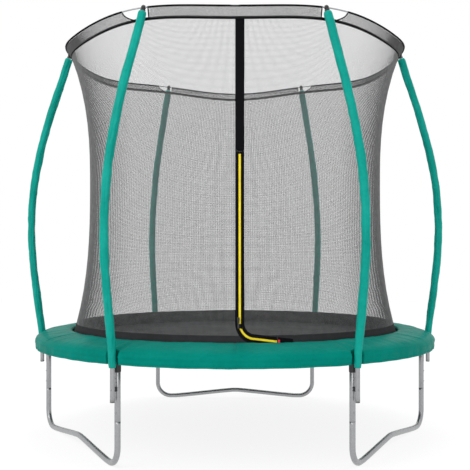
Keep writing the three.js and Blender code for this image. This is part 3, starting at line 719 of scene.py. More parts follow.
def steel_frame():
    for station, (angle, _, _) in STATIONS.items():
        placed("rail_" + station, rail_mesh(angle), "frame_rail_" + station)
        seat = polar(FRAME_R, math.radians(angle), 0)
        upright = turned_piece([(LEG_JOINT_Z + 0.0004, TUBE_R - 0.0012),
                                (LEG_JOINT_Z + 0.0012, TUBE_R),
                                (SOCKET_Z - 0.0012, TUBE_R), (SOCKET_Z - 0.0004, TUBE_R - 0.0012)],
                               seat, (0, 0, 1), STEEL, 28)
        placed("upright_" + station, upright, "leg_upright_" + station)
        collar = turned_piece([(COLLAR_BOTTOM, TUBE_R + 0.0005),
                               (COLLAR_BOTTOM + 0.0015, COLLAR_R),
                               (COLLAR_BOTTOM + 0.010, COLLAR_R + 0.0008),
                               (COLLAR_TOP - 0.010, COLLAR_R + 0.0008),
                               (COLLAR_TOP - 0.004, COLLAR_R + 0.0016),
                               (COLLAR_TOP - 0.001, COLLAR_R + 0.0012),
                               (COLLAR_TOP, TUBE_R + 0.0005)], seat, (0, 0, 1), BLACK_PLASTIC, 32)
        placed("collar_" + station, collar, "leg_collar_" + station)
    for side, angle in (("left", 210), ("right", 330), ("rear", 90)):
        placed("base_" + side, base_mesh(angle), "leg_base_" + side)


# ---------- net poles ----------

def pole_foot(station):
    return POLE_FOOT_Z - STATIONS[station][2]


def pole_mesh(station):
    foot, top = pole_foot(station), RING_Z - 0.018
    heights = np.concatenate([np.linspace(foot, POLE_BEND_Z, 5)[:-1],
                              np.linspace(POLE_BEND_Z, top, 60)])
    route = [pole_point(station, z) for z in heights]
    return tube(route, POLE_R, STEEL, 20)


def plug_mesh(station):
    """Plastic plug in the pole's open foot."""
    x, y, z = pole_point(station, pole_foot(station))
    return turned_piece([(-0.0030, 0.004), (-0.0026, 0.0100), (-0.0008, 0.0126), (0, 0.0126),
                         (0.0004, 0.0118)], (x, y, z), (0, 0, 1), BLACK_PLASTIC, 24)


def spacer_mesh(station):
    """Saddle block that holds the pole off the leg, with ribs and rounded edges."""
    angle = STATIONS[station][0]
    z = pole_foot(station) + SPACER_ABOVE_FOOT
    left, right = FRAME_R, POLE_LINE_R
    rings = []
    for height, grow in ((-0.011, -0.0012), (-0.0098, 0), (-0.004, 0), (-0.003, -0.001),
                         (0.003, -0.001), (0.004, 0), (0.0098, 0), (0.011, -0.0012)):
        half = 0.010 + grow
        outline = []
        for centre, radius, sign in ((left, TUBE_R + 0.0004, 1), (right, POLE_R + 0.0004, -1)):
            reach = math.asin(min(0.98, half / radius))
            for k in range(9):
                a = -reach + 2 * reach * k / 8
                outline.append((centre + sign * radius * math.cos(a), sign * radius * math.sin(a)))
        rings.append([station_point(angle, x, y, z + height) for x, y in outline])
    return lofted(rings, BLACK_PLASTIC, smooth=False)


def screw_mesh(z, x, length, head_r):
    """A pan-head screw pointing outwards at a station, its head dished in the middle."""
    head = turned_piece([(x - 0.003, head_r * 0.55), (x, head_r), (x + 0.0014, head_r),
                         (x + 0.0026, head_r * 0.86), (x + 0.0034, head_r * 0.55),
                         (x + 0.0036, head_r * 0.30), (x + 0.0022, head_r * 0.22)],
                        (0, 0, z), (1, 0, 0), STEEL, 16)
    washer = turned_piece([(x - 0.0016, head_r * 1.1), (x - 0.0012, head_r * 1.4),
                           (x - 0.0002, head_r * 1.4), (x + 0.0001, head_r * 1.2)],
                          (0, 0, z), (1, 0, 0), STEEL, 18)
    shank = turned_piece([(x - length, head_r * 0.42), (x - length + 0.002, head_r * 0.5),
                          (x, head_r * 0.5)], (0, 0, z), (1, 0, 0), STEEL, 10)
    return joined([head, washer, shank], "screw")


def screw_sets():
    """Screws through the poles and through the leg joints, repeated round the frame."""
    low_z = LEG_JOINT_Z + 0.045
    sets = [(low_z, FRAME_R + TUBE_R, range(6)),
            (POLE_FOOT_Z + SPACER_ABOVE_FOOT, POLE_LINE_R + POLE_R, range(0, 4)),
            (POLE_FOOT_Z - 0.068 + SPACER_ABOVE_FOOT, POLE_LINE_R + POLE_R, range(4, 6)),
            (0.470, FRAME_R + TUBE_R, range(4, 6)),
            (0.358, FRAME_R + TUBE_R, range(0, 4))]
    made = []
    for z, x, places in sets:
        places = list(places)
        made.append(ring_of(screw_mesh(z, x, 0.020, 0.0042), len(places), STEEL,
                            first=SECTOR * places[0], step=SECTOR))
    screws = new_object("screws", joined(made, "screws"), ROOT)


def cap_mesh(station):
    """Ball cap in the pole's top, which the ring rod runs through."""
    top, below = (np.array(pole_point(station, z)) for z in (RING_Z - 0.018, RING_Z - 0.05))
    centre = np.array(pole_point(station, RING_Z))
    axis = (top - below) / np.linalg.norm(top - below)
    reach = float(np.linalg.norm(centre - top))
    ball = [(reach + 0.013 * math.sin(a), 0.013 * math.cos(a))
            for a in np.linspace(-1.05, 1.50, 15)]
    profile = [(-0.022, 0.0085), (-0.020, 0.0102), (0.0004, 0.0102), (0.0006, 0.0138),
               (0.0045, 0.0138), (0.0055, 0.0112), (0.008, 0.0090)]
    profile += [(d, r) for d, r in ball if d > 0.0085] + [(reach + 0.0131, 0.0004)]
    return turned_piece(profile, top, axis, BLACK_PLASTIC, 28)


def sleeve_wrinkle(u, v, seed):
    """Long folds of loose vinyl round a foam tube: u is the angle, v the height in metres."""
    x, y = math.cos(u), math.sin(u)
    long_fold = noise.noise((1.1 * x + seed, 1.1 * y, v * 2.6))
    fold = noise.noise((2.0 * x + seed, 2.0 * y + 7, v * 6.0))
    ridge = 1 - abs(noise.noise((1.6 * x + 3 * seed, 1.6 * y, v * 11.0 + 0.8 * x))) * 2.2
    small = noise.noise((3.4 * x, 3.4 * y + seed, v * 26.0))
    return 0.0022 * long_fold + 0.0030 * fold + 0.0024 * ridge + 0.0009 * small


def sleeve_mesh(station, seed):
    """Foam sleeve in its vinyl cover: gathered at both ends, puffed and creased between."""
    low, high = SLEEVE_BOTTOM_Z, SLEEVE_TOP_Z
    count, sides = 230, 40
    heights = np.linspace(low, high, count)
    route = [pole_point(station, z) for z in heights]
    _, a, b = route_frames(route)
    angle = math.radians(STATIONS[station][0])
    outward = np.array([math.cos(angle), math.sin(angle), 0])
    rings = []
    for k, z in enumerate(heights):
        up = np.cross(a[k], b[k])
        side = np.cross(up, outward)
        side /= np.linalg.norm(side)
        out = np.cross(side, up)
        share = (z - low) / (high - low)
        base = 0.0188 + 0.0024 * smooth_step(share * 5)
        ease = min(1.0, (z - low) / 0.03, (high - z) / 0.014)
        ring = []
        for j in range(sides):
            u = 2 * math.pi * j / sides
            r = base + sleeve_wrinkle(u, z, seed) * (0.35 + 0.65 * ease)
            r -= 0.0022 * (1 - ease) ** 2
            seam = math.exp(-((u - math.pi) / 0.16) ** 2)
            r += 0.0028 * seam
            ring.append(np.array(route[k]) + r * (math.cos(u) * out + math.sin(u) * side))
        rings.append(ring)
    rings = np.array(rings)
    centre = np.array(route)[[0, -1]][:, None]
    lip_low = centre[0] + (rings[0] - centre[0]) * 0.74
    lip_high = centre[1] + (rings[-1] - centre[1]) * 0.74
    inside_low = lip_low + np.array([0, 0, 0.012])
    inside_high = lip_high - np.array([0, 0, 0.012])
    body = np.concatenate([[inside_low], [lip_low], rings, [lip_high], [inside_high]])
    return lofted(body, SLEEVE_VINYL)


def poles_and_sleeves():
    stitches = []
    for number, station in enumerate(STATIONS):
        pole = new_object("pole_" + station, joined([pole_mesh(station), plug_mesh(station)],
                                                    "pole"), ROOT)
        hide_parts("net_pole_" + station)
        placed("spacer_" + station, spacer_mesh(station), "pole_spacer_" + station)
        placed("cap_" + station, cap_mesh(station), "pole_cap_" + station)
        sleeve = placed("sleeve_" + station, sleeve_mesh(station, 3.7 * number + 1.3),
                        "pole_sleeve_" + station)
        angle = math.radians(STATIONS[station][0])
        inward = np.array([math.cos(angle), math.sin(angle), 0]) * -0.0243
        route = [np.array(pole_point(station, z)) + inward
                 for z in np.linspace(SLEEVE_BOTTOM_Z + 0.01, SLEEVE_TOP_Z - 0.01, 60)]
        stitches.append((route, False))
    seam = row_of(stitch_unit(0.0045, 0.0010, 0.0012), stitches, 0.0075, SEAM_GREEN)
    seam = new_object("sleeve_stitches", seam, ROOT)


# ---------- top ring ----------

def top_ring():
    route = [polar(RING_R, a, RING_Z - sag(a, RING_Z))
             for a in np.linspace(0, 2 * math.pi, 240, endpoint=False)]
    pieces = [tube(route, ROD_R, ROD, 12, True)]
    for k in range(6):
        middle = SECTOR * (k + 0.5)
        ferrule = [polar(RING_R, middle + t, RING_Z - sag(middle + t, RING_Z))
                   for t in np.linspace(-0.028, 0.028, 7)]
        pieces.append(tube(ferrule, [ROD_R + 0.0003] + [ROD_R + 0.0011] * 5 + [ROD_R + 0.0003],
                           ROD, 14))
    placed("ring_rod", joined(pieces, "ring_rod"), "top_ring")


# ---------- springs and mat ----------

SPRING_IN, SPRING_OUT, SPRING_Z = 1.052, 1.168, 0.588


def spring_route():
    """One extension spring lying along X: hook, close coil that opens at its ends, hook."""
    coil_r, wire_r = 0.0062, 0.0011
    route = [(SPRING_IN - 0.003, -0.0035, SPRING_Z), (SPRING_IN - 0.010, -0.0055, SPRING_Z),
             (SPRING_IN - 0.017, 0, SPRING_Z), (SPRING_IN - 0.010, 0.0055, SPRING_Z),
             (SPRING_IN - 0.003, 0.0040, SPRING_Z + 0.002)]
    turns, per_turn = 26, 9
    for k in range(turns * per_turn + 1):
        share = k / (turns * per_turn)
        a = 2 * math.pi * turns * share
        route.append((SPRING_IN + (SPRING_OUT - SPRING_IN) * share, coil_r * math.cos(a),
                      SPRING_Z + coil_r * math.sin(a)))
    route += [(SPRING_OUT + 0.003, 0.002, SPRING_Z + 0.004), (SPRING_OUT + 0.010, 0, SPRING_Z + 0.006),
              (SPRING_OUT + 0.018, 0, SPRING_Z + 0.007), (SPRING_OUT + 0.023, 0, SPRING_Z + 0.003),
              (SPRING_OUT + 0.0235, 0, SPRING_Z - 0.006)]
    return route, wire_r


def bowl_weight(thing):
    """Bakes a piece's placement into its mesh and reads out its points; no sag towards the mat's body is
    set.
    """
    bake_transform(thing)
    points = np.zeros(len(thing.data.vertices) * 3, np.float32)
    thing.data.vertices.foreach_get("co", points)


def disc_rings(radii, heights, sides=180):
    turn = np.linspace(0, 2 * math.pi, sides, endpoint=False)
    return [[polar(r, a, z) for a in turn] for r, z in zip(radii, heights)]


def mat_and_springs():
    radii = list(np.linspace(0.02, MAT_R - 0.001, 44))
    rings = disc_rings(radii + [MAT_R, MAT_R] + radii[::-1],
                       [MAT_TOP] * 44 + [MAT_TOP - 0.0006, MAT_TOP - 0.0024]
                       + [MAT_TOP - MAT_T] * 44)
    mesh = lofted(rings, MAT_WEAVE)
    mat = new_object("mat_weave", mesh)
    bowl_weight(mat)
    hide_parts("mat")

    profile = ((1.0355, 0.6006), (1.0352, 0.6018), (1.004, 0.6018), (0.9875, 0.6014),
               (0.9865, 0.6004))
    under = ((0.9865, 0.5966), (0.988, 0.5956), (1.034, 0.5950), (1.0366, 0.5962),
             (1.0370, 0.5990))
    rings = disc_rings(*zip(*(profile + under)), 240)
    edge = new_object("mat_edge_webbing", lofted(rings, WEBBING, loop=True))
    bowl_weight(edge)

    rows = []
    for radius, count in ((0.9900, 760), (0.9990, 760), (1.0305, 780)):
        stitch = stitch_unit(0.0055, 0.0010, 0.0012)
        stitch.transform(Matrix.Translation((radius, 0, 0.6022)) @ Matrix.Rotation(
            math.radians(90), 4, "X") @ Matrix.Rotation(math.radians(-90), 4, "Z"))
        rows.append(ring_of(stitch, count, SEAM_BLACK, wander=0.0006, seed=4))
    threads = new_object("mat_stitches", joined(rows, "mat_stitches"))
    bowl_weight(threads)

    route, wire_r = spring_route()
    unit = strands([(route, False)], wire_r, 5, SPRING_STEEL)
    half = math.pi / SPRING_COUNT
    coils = ring_of(unit, SPRING_COUNT, SPRING_STEEL, first=half)
    triangle = [(1.0395, 0.0, 0.5905), (1.0375, 0.003, 0.5905), (1.0215, 0.0165, 0.5935),
                (1.0190, 0.0160, 0.5938), (1.0185, 0.0, 0.5940), (1.0190, -0.0160, 0.5938),
                (1.0215, -0.0165, 0.5935), (1.0375, -0.003, 0.5905)]
    ring = strands([(triangle, True)], 0.0016, 6, SPRING_STEEL)
    rings = ring_of(ring, SPRING_COUNT, SPRING_STEEL, first=half)
    springs = new_object("springs", joined([coils, rings], "springs"))
    bowl_weight(springs)
    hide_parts("spring_set")

    loop = lofted([[(1.006, y, 0.5948), (1.024, y, 0.5926), (1.0258, y, 0.5940),
                    (1.0240, y, 0.5950), (1.006, y, 0.5955)] for y in (-0.013, 0, 0.013)], WEBBING)
    loops = new_object("ring_loops", ring_of(loop, SPRING_COUNT, WEBBING, first=half))
    bowl_weight(loops)


# ---------- safety pad ----------

def smooth_step(t):
    t = min(1.0, max(0.0, t))
    return t * t * (3 - 2 * t)


PAD_PROFILE = ((1.030, 0.6375), (1.0325, 0.6445), (1.038, 0.6480), (1.050, 0.6505),
               (1.064, 0.6512), (1.090, 0.6488), (1.120, 0.6443), (1.150, 0.6395),
               (1.180, 0.6340), (1.205, 0.6282), (1.222, 0.6222), (1.235, 0.6150),
               (1.244, 0.6055), (1.2492, 0.5945), (1.2508, 0.5830))


def pad_top(r):
    radii, heights = zip(*PAD_PROFILE)
    return float(np.interp(r, radii, heights))


def pad_outline():
    """Cross-section of the pad and its skirt, counter-clockwise from the inner edge, (r, z)."""
    top = [tuple(p) for p in resampled(PAD_PROFILE, 30)]
    skirt = [(PAD_OUT - 0.0012, z) for z in np.linspace(0.578, PAD_SKIRT + 0.004, 10)]
    hem = [(PAD_OUT - 0.0010, PAD_SKIRT + 0.001), (PAD_OUT - 0.0026, PAD_SKIRT),
           (PAD_OUT - 0.0044, PAD_SKIRT + 0.001), (PAD_OUT - 0.0046, PAD_SKIRT + 0.004)]
    back = [(PAD_OUT - 0.0046, z) for z in np.linspace(PAD_SKIRT + 0.016, PAD_UNDER - 0.006, 5)]
    under = [(r, PAD_UNDER) for r in np.linspace(PAD_OUT - 0.012, PAD_IN + 0.004, 12)]
    inner = [(PAD_IN + 0.001, PAD_UNDER + 0.001), (PAD_IN, PAD_UNDER + 0.004)]
    return top + skirt + hem + back + under + inner


def pad_shape(angle, r, z):
    """Moves a point of the plain pad as the tied, foam-filled cover does."""
    near = (angle + SECTOR / 2) % SECTOR - SECTOR / 2
    along = near * PAD_OUT
    on_top = smooth_step((z - PAD_UNDER - 0.001) / 0.012)
    x, y = math.cos(angle) * r, math.sin(angle) * r
    puff = noise.noise((x * 5.5, y * 5.5, 1.0)) * 0.0030 + noise.noise((x * 13, y * 13, 5)) * 0.0016
    across = (r - PAD_IN) / (PAD_OUT - PAD_IN)
    puff += 0.0022 * (noise.noise((angle * 26, across * 1.6, 9.0)))
    ripple = 0.0014 * noise.noise((angle * 60, across * 1.2, 3.0)) * smooth_step((across - 0.55) * 3)
    panel = (angle - math.radians(30) + SECTOR / 2) % SECTOR - SECTOR / 2
    seam = math.exp(-(panel * PAD_OUT / 0.007) ** 2)
    z += on_top * (puff + ripple - 0.0030 * seam)
    notch_half = 0.034
    dip = math.exp(-((abs(along) - notch_half) / 0.020) ** 2)
    z -= on_top * 0.0075 * dip * smooth_step((across - 0.25) * 1.6)
    if z < PAD_CORNER - 0.004 and r > PAD_OUT - 0.02:
        hang = (PAD_CORNER - z) / (PAD_CORNER - PAD_SKIRT)
        wave = noise.noise((angle * 17, hang * 0.8, 2.0)) * 0.0052
        wave += noise.noise((angle * 46, hang * 1.4, 8.0)) * 0.0024
        r += wave * smooth_step(hang * 1.3) + 0.0022 * math.sin(math.pi * min(1, hang))
        z += noise.noise((angle * 11, 0, 4.0)) * 0.0026 * hang
    if across > 0.80:
        depth = smooth_step((notch_half + 0.007 - abs(along)) / 0.012)
        r -= depth * max(0.0, r - 1.2225)
    return r, z


def pad_piece():
    outline = pad_outline()
    angles = []
    for k in range(6):
        start = SECTOR * k
        fine = 0.048 / PAD_OUT
        angles += list(start - fine + np.linspace(0, 2 * fine, 48, endpoint=False))
        angles += list(np.linspace(start + fine, start + SECTOR - fine, 104, endpoint=False))
    rings = []
    for angle in angles:
        ring = []
        for r, z in outline:
            r2, z2 = pad_shape(angle, r, z)
            ring.append(polar(r2, angle, z2))
        rings.append(ring)
    mesh = lofted(rings, PAD_VINYL, loop=True)
    pad = placed("pad_cover", mesh, "safety_pad")
    return pad


def pad_seams():
    """Stitch rows: across each panel joint and along the skirt's hem."""
    routes = []
    for k in range(6):
        angle = SECTOR * (k + 0.5)
        for shift in (-0.0055, 0.0055):
            route = []
            for r in np.linspace(PAD_IN + 0.006, PAD_OUT - 0.016, 30):
                a = angle + shift / r
                _, z = pad_shape(a, r, pad_top(r))
                route.append(polar(r, a, z + 0.0004))
            routes.append((route, False))
    hem = []
    for k in range(6):
        span = np.linspace(SECTOR * k + 0.036, SECTOR * (k + 1) - 0.036, 120)
        route = []
        for a in span:
            r, z = pad_shape(a, PAD_OUT - 0.0012, PAD_SKIRT + 0.012)
            route.append(polar(r + 0.0003, a, z))
        hem.append((route, False))
    made = row_of(stitch_unit(0.0055, 0.0011, 0.0012), routes + hem, 0.0085, SEAM_GREEN)
    seams = new_object("pad_stitches", made, ROOT)


# ---------- net ----------

THREAD_R, MESH_PITCH = 0.00068, 0.0060
HEM_TOP, HEM_FOOT = 0.683, 0.6015
FOLD_SHIFT = 0.0066             # the door's fold line is this far beside the zip at its top
BAND_THREAD_R, BAND_PITCH = 0.00096, 0.0042


def fold_x(z):
    """The line that the door folds along, from the zip's end up to the zip's top."""
    return ZIP_END_X + (ZIP_X + FOLD_SHIFT - ZIP_END_X) * (z - ZIP_END_Z) / (ZIP_TOP - ZIP_END_Z)


def zip_x(z):
    if z >= ZIP_CORNER_Z:
        return ZIP_X
    drop = min(1.0, (ZIP_CORNER_Z - z) / ZIP_CORNER_R)
    return ZIP_X + ZIP_CORNER_R * (1 - math.sqrt(1 - drop * drop))


FOLD_SHARE = 0.045
DOOR_LOW = ZIP_CORNER_Z - ZIP_CORNER_R


def on_door(point):
    x, y, z = point
    if y > 0 or not DOOR_LOW < z < ZIP_TOP:
        return False
    return zip_x(z) < x < fold_x(z) + FOLD_SHARE


def split_route(place, count):
    """A thread cut into runs on the door and runs beside it, each cut found by halving."""
    runs, current = {False: [], True: []}, [place(0)]
    state = on_door(current[0])
    for k in range(1, count + 1):
        low, high = (k - 1) / count, k / count
        point = place(high)
        if on_door(point) != state:
            for _ in range(14):
                middle = (low + high) / 2
                if on_door(place(middle)) == state:
                    low = middle
                else:
                    high = middle
            cut = place((low + high) / 2)
            current.append(cut)
            runs[state].append((current, False))
            current, state = [cut], not state
        current.append(point)
    runs[state].append((current, False))
    return runs


def net_panels():
    """The netting, in six panels between the poles, and the door cut out of the front one."""
    rows = int((BAND_Z - HEM_TOP) / MESH_PITCH)
    heights = [HEM_TOP - 0.002 + (BAND_Z - HEM_TOP + 0.002) * k / rows for k in range(rows + 1)]
    columns = 172
    for number, station in enumerate(STATIONS):
        start = SECTOR * number
        front = station == "front_left"
        upright, level, door_upright, door_level = [], [], [], []
        for k in range(columns):
            angle = start + SECTOR * (k + 0.5) / columns

            def climb(t, angle=angle):
                return net_point(angle, HEM_TOP - 0.003 + (BAND_Z - HEM_TOP + 0.006) * t)

            if front:
                runs = split_route(climb, 64 if abs(math.degrees(angle) - 277) < 9 else 18)
                upright += runs[False]
                door_upright += runs[True]
            else:
                upright.append(([climb(t) for t in np.linspace(0, 1, 17)], False))
        for z in heights:
            def across(t, z=z):
                return net_point(start + SECTOR * t, z)

            if front:
                runs = split_route(across, 26)
                level += runs[False]
                door_level += runs[True]
            else:
                level.append(([across(t) for t in np.linspace(0, 1, 17)], False))
        panel = joined([strands(upright, THREAD_R, 4, NET_THREAD_PAINTED_SHEEN),
                        strands(level, THREAD_R, 3, NET_THREAD_PAINTED_SHEEN)], "netting")
        panel = new_object("netting_" + station, panel, ROOT)
        if number == 0:
            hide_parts("net_body")
        if front:
            leaf = joined([strands(door_upright, THREAD_R, 4, NET_THREAD_PAINTED_SHEEN),
                           strands(door_level, THREAD_R, 3, NET_THREAD_PAINTED_SHEEN)], "netting_door")
            leaf = new_object("netting_door", leaf)
            fold_blend(leaf)
            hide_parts("net_door")


def fold_blend(thing):
    """Bakes a door piece's placement into its mesh; the fold line's ends and sideways direction are worked
    out but not used.
    """
    low = Vector(front_point(ZIP_END_X, ZIP_END_Z))
    high = Vector(front_point(ZIP_X + FOLD_SHIFT, ZIP_TOP))
    along = (high - low).normalized()
    outward = Vector((0.13, -0.99, 0))
    side = along.cross(outward).normalized()
    if side.x < 0:
        side = -side
    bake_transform(thing)


# how far the band's openings reach from the pole, in metres along the rod
FAR_AT_DROP, FAR_SIDE, NEAR_SIDE, UPRIGHT_SIDE, OPENING_TAPER = 0.142, 0.088, 0.026, 0.055, 0.078


def cutouts():
    """Where the band is open beside each pole, as angles: its near edge, and its far one at rod and foot."""
    spans = []
    for angle, lean, drop in STATIONS.values():
        pole = math.radians(angle) + math.asin(lean / RING_R)
        far = FAR_AT_DROP if drop else FAR_SIDE
        if lean == 0:
            far = UPRIGHT_SIDE
        away = -math.copysign(1, lean)
        short = pole - away * near_side(lean) / RING_R
        long_top = pole + away * far / RING_R
        long_foot = pole + away * (far - OPENING_TAPER) / RING_R
        spans.append((short, long_top, long_foot))
    return spans


def near_side(lean):
    return UPRIGHT_SIDE if lean == 0 else NEAR_SIDE


def band_edge(span, t):
    """Angles of an opening's two edges at a share of the band's height, 0 at its foot."""
    short, long_top, long_foot = span
    curved = long_foot + (long_top - long_foot) * (1 - (1 - t) ** 2.2)
    return short + 0.012 * (1 - t) * (1 if curved > short else -1), curved


def band_pieces():
    """Dense mesh band under the ring, with its black hems and the openings at the poles."""
    spans = cutouts()
    height = BAND_TOP - BAND_Z

    def is_open(angle, z):
        t = (z - BAND_Z) / height
        for span in spans:
            a, b = band_edge(span, min(1.0, max(0.0, t)))
            middle, half = (a + b) / 2, abs(a - b) / 2
            off = (angle - middle + math.pi) % (2 * math.pi) - math.pi
            if abs(off) < half:
                return True
        return False

    upright, level = [], []
    count = 1560
    for k in range(count):
        angle = 2 * math.pi * k / count
        rows = [z for z in np.linspace(BAND_Z - 0.002, BAND_TOP, 9) if not is_open(angle, z)]
        if len(rows) > 1:
            upright.append(([net_point(angle, z) for z in rows], False))
    for z in np.arange(BAND_Z + 0.001, BAND_TOP, BAND_PITCH):
        run = []
        for angle in np.linspace(0, 2 * math.pi, 481):
            if is_open(angle, z):
                if len(run) > 1:
                    level.append((run, False))
                run = []
            else:
                run.append(net_point(angle, z))
        if len(run) > 1:
            level.append((run, False))
    mesh = joined([strands(upright, BAND_THREAD_R, 4, BAND_THREAD_LESS_SHEEN),
                   strands(level, BAND_THREAD_R, 3, BAND_THREAD_LESS_SHEEN)],
                  "band")
    band = new_object("top_band", mesh, ROOT)
    hems = []
    rings = []
    for angle in np.linspace(0, 2 * math.pi, 360, endpoint=False):
        z = BAND_Z + 0.003
        drop = sag(angle, z)
        r = net_radius(z)
        rings.append([polar(r + dr, angle, z + dz - drop) for dr, dz in (
            (0.0014, -0.0082), (0.0020, 0), (0.0014, 0.0082),
            (-0.0006, 0.0082), (-0.0012, 0), (-0.0006, -0.0082))])
    hems.append(lofted(rings, WEBBING, loop=True))
    ordered = sorted((min(a, b) % (2 * math.pi), max(a, b) % (2 * math.pi)) for a, b, _ in spans)
    for k, (_, end) in enumerate(ordered):
        start_next = ordered[(k + 1) % len(ordered)][0]
        if start_next < end:
            start_next += 2 * math.pi
        rings = []
        for angle in np.linspace(end, start_next, 80):
            drop = sag(angle, RING_Z)
            rings.append([polar(RING_R + 0.0052 * math.cos(t), angle,
                                RING_Z - 0.0006 + 0.0054 * math.sin(t) - drop)
                          for t in np.linspace(0, 2 * math.pi, 12, endpoint=False)])
        hems.append(lofted(rings, WEBBING))
    for span in spans:
        for side in (0, 1):
            route = [net_point(band_edge(span, t)[side], BAND_Z + height * t, 0.0006)
                     for t in np.linspace(0, 1, 18)]
            hems.append(tube(route, 0.0034, WEBBING, 8))
    hem = new_object("band_hems", joined(hems, "band_hems"), ROOT)


def bottom_hem():
    """Doubled strip of closed cloth round the net's foot, with its stitch rows."""
    rings = []
    for angle in np.linspace(0, 2 * math.pi, 360, endpoint=False):
        ring = [polar(net_radius(z) + dr + 0.0006 * noise.noise((angle * 20, z * 30, 0)), angle, z)
                for z, dr in ((HEM_FOOT, 0.0007), (0.630, 0.0009), (0.656, 0.0009),
                              (HEM_TOP - 0.001, 0.0008), (HEM_TOP, 0.0), (HEM_TOP - 0.001, -0.0008),
                              (0.656, -0.0009), (0.630, -0.0009), (HEM_FOOT, -0.0007))]
        rings.append(ring)
    hem = new_object("net_bottom_hem", lofted(rings, HEM_CLOTH, loop=True), ROOT)
    rows = []
    for z in (HEM_TOP - 0.006, 0.640):
        stitch = stitch_unit(0.006, 0.0010, 0.0012)
        stitch.transform(Matrix.Translation((net_radius(z) + 0.0012, 0, z))
                         @ Matrix.Rotation(math.radians(90), 4, "X"))
        rows.append(ring_of(stitch, 700, SEAM_BLACK, wander=0.0005, seed=9))
    thread = new_object("hem_stitches", joined(rows, "hem_stitches"), ROOT)


# ---------- zip ----------

def tape_mesh(inner, outer, top, end):
    """A tape that follows the zip's line between two sideways offsets, lying on the net."""
    count = 150
    sides = [resampled(zip_route(offset, top, end), 600) for offset in (inner, outer)]
    rings = []
    for k in range(count):
        row = []
        a, b = (side[int(k * 599 / (count - 1))] for side in sides)
        for t in (0, 0.08, 0.5, 0.92, 1):
            row.append((a + (b - a) * t, 0.0017 if 0 < t < 1 else 0.0014))
        face = [front_point(p[0], p[1], out) for p, out in row]
        back = [front_point(p[0], p[1], 0.0005) for p, _ in row[::-1]]
        rings.append(face + back)
    return lofted(rings, TAPE_CLOTH)


def tape_strip(top, bottom, left, right):
    rings = []
    for z in np.linspace(top, bottom, 40):
        xs = (left, left + 0.002, (left + right) / 2, right - 0.002, right)
        face = [front_point(x, z, 0.0017 if left < x < right else 0.0014) for x in xs]
        back = [front_point(x, z, 0.0005) for x in xs[::-1]]
        rings.append(face + back)
    return lofted(rings, TAPE_CLOTH)


def coil_route(offset):
    """Route of one half of the yellow coil, as points on the net's face."""
    return [front_point(x, z, 0.0019) for x, z in resampled(zip_route(offset, ZIP_TOP - 0.016), 500)]


def zip_pieces():
    gap = 0.0004
    fixed = [tape_strip(BAND_Z - 0.001, ZIP_TOP + 0.001, ZIP_X - TAPE_HALF, ZIP_X + TAPE_HALF),
             tape_mesh(gap, TAPE_HALF, ZIP_TOP, ZIP_END_X + 0.006)]
    end = []
    for x in np.linspace(ZIP_END_X + 0.0065, TAPE_END_X, 24):
        slope = (ZIP_END_Z - DOOR_LOW) / (ZIP_END_X - ZIP_X - ZIP_CORNER_R)
        z = DOOR_LOW + slope * (x - ZIP_X - ZIP_CORNER_R)
        spans = (-TAPE_HALF, -TAPE_HALF + 0.002, 0, TAPE_HALF - 0.002, TAPE_HALF)
        face = [front_point(x, z + d, 0.0017 if abs(d) < TAPE_HALF else 0.0014) for d in spans]
        back = [front_point(x, z + d, 0.0005) for d in spans[::-1]]
        end.append(face + back)
    fixed.append(lofted(end, TAPE_CLOTH))
    placed("zip_tape_left", joined(fixed, "zip_tape_left"), "zip_tape_fixed")
    right = new_object("zip_tape_right", tape_mesh(-gap, -TAPE_HALF, ZIP_TOP, ZIP_END_X))
    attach(right, "door")
    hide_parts("zip_tape_door")

    ride = (("zip_coil_left", 0.0026, ROOT), ("zip_coil_right", -0.0026, "door"))
    for name, offset, body in ride:
        coil = new_object(name, coil_mesh(coil_route(offset)), body)

    slider_low, slider_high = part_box("zip_slider")
    slider = new_object("zip_runner", slider_mesh(slider_low, slider_high), "zip_slider_body")
    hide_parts("zip_slider")
    pull = new_object("zip_tab", pull_mesh(), "zip_pull_body")
    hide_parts("zip_pull")
    placed("zip_red_end", stop_mesh(), "zip_end_stop")


CROSSING_TOP, CROSSING_LOW = 0.742, 0.719      # the black stretch between two lengths of coil


def coil_mesh(points):
    """Yellow piping with moulded ribs: a round cord with a tooth every few millimetres."""
    route = resampled(points, 400)
    upper = [p for p in route if p[2] > CROSSING_TOP]
    lower = [p for p in route if p[2] < CROSSING_LOW]
    rib = tube([(0.0036 * math.cos(a), 0.0036 * math.sin(a), 0) for a in
                np.linspace(0, 2 * math.pi, 8, endpoint=False)], 0.0006, YELLOW, 4, True)
    pieces = [tube(part, 0.0034, YELLOW, 10) for part in (upper, lower)]
    pieces += [row_of(rib, [([tuple(p) for p in part], False)], 0.0042, YELLOW)
               for part in (upper, lower)]
    return joined(pieces, "zip_coil")


def rounded_block(low, high, bevel, material, segments=3):
    bm = bmesh.new()
    bmesh.ops.create_cube(bm, size=1)
    size = Vector(high) - Vector(low)
    centre = (Vector(high) + Vector(low)) / 2
    for v in bm.verts:
        v.co = Vector((v.co.x * size.x, v.co.y * size.y, v.co.z * size.z)) + centre
    bmesh.ops.bevel(bm, geom=list(bm.edges), offset=bevel, segments=segments, affect="EDGES",
                    profile=0.6)
    mesh = bpy.data.meshes.new("block")
    bm.to_mesh(mesh)
    bm.free()
    return shaded(mesh, material)


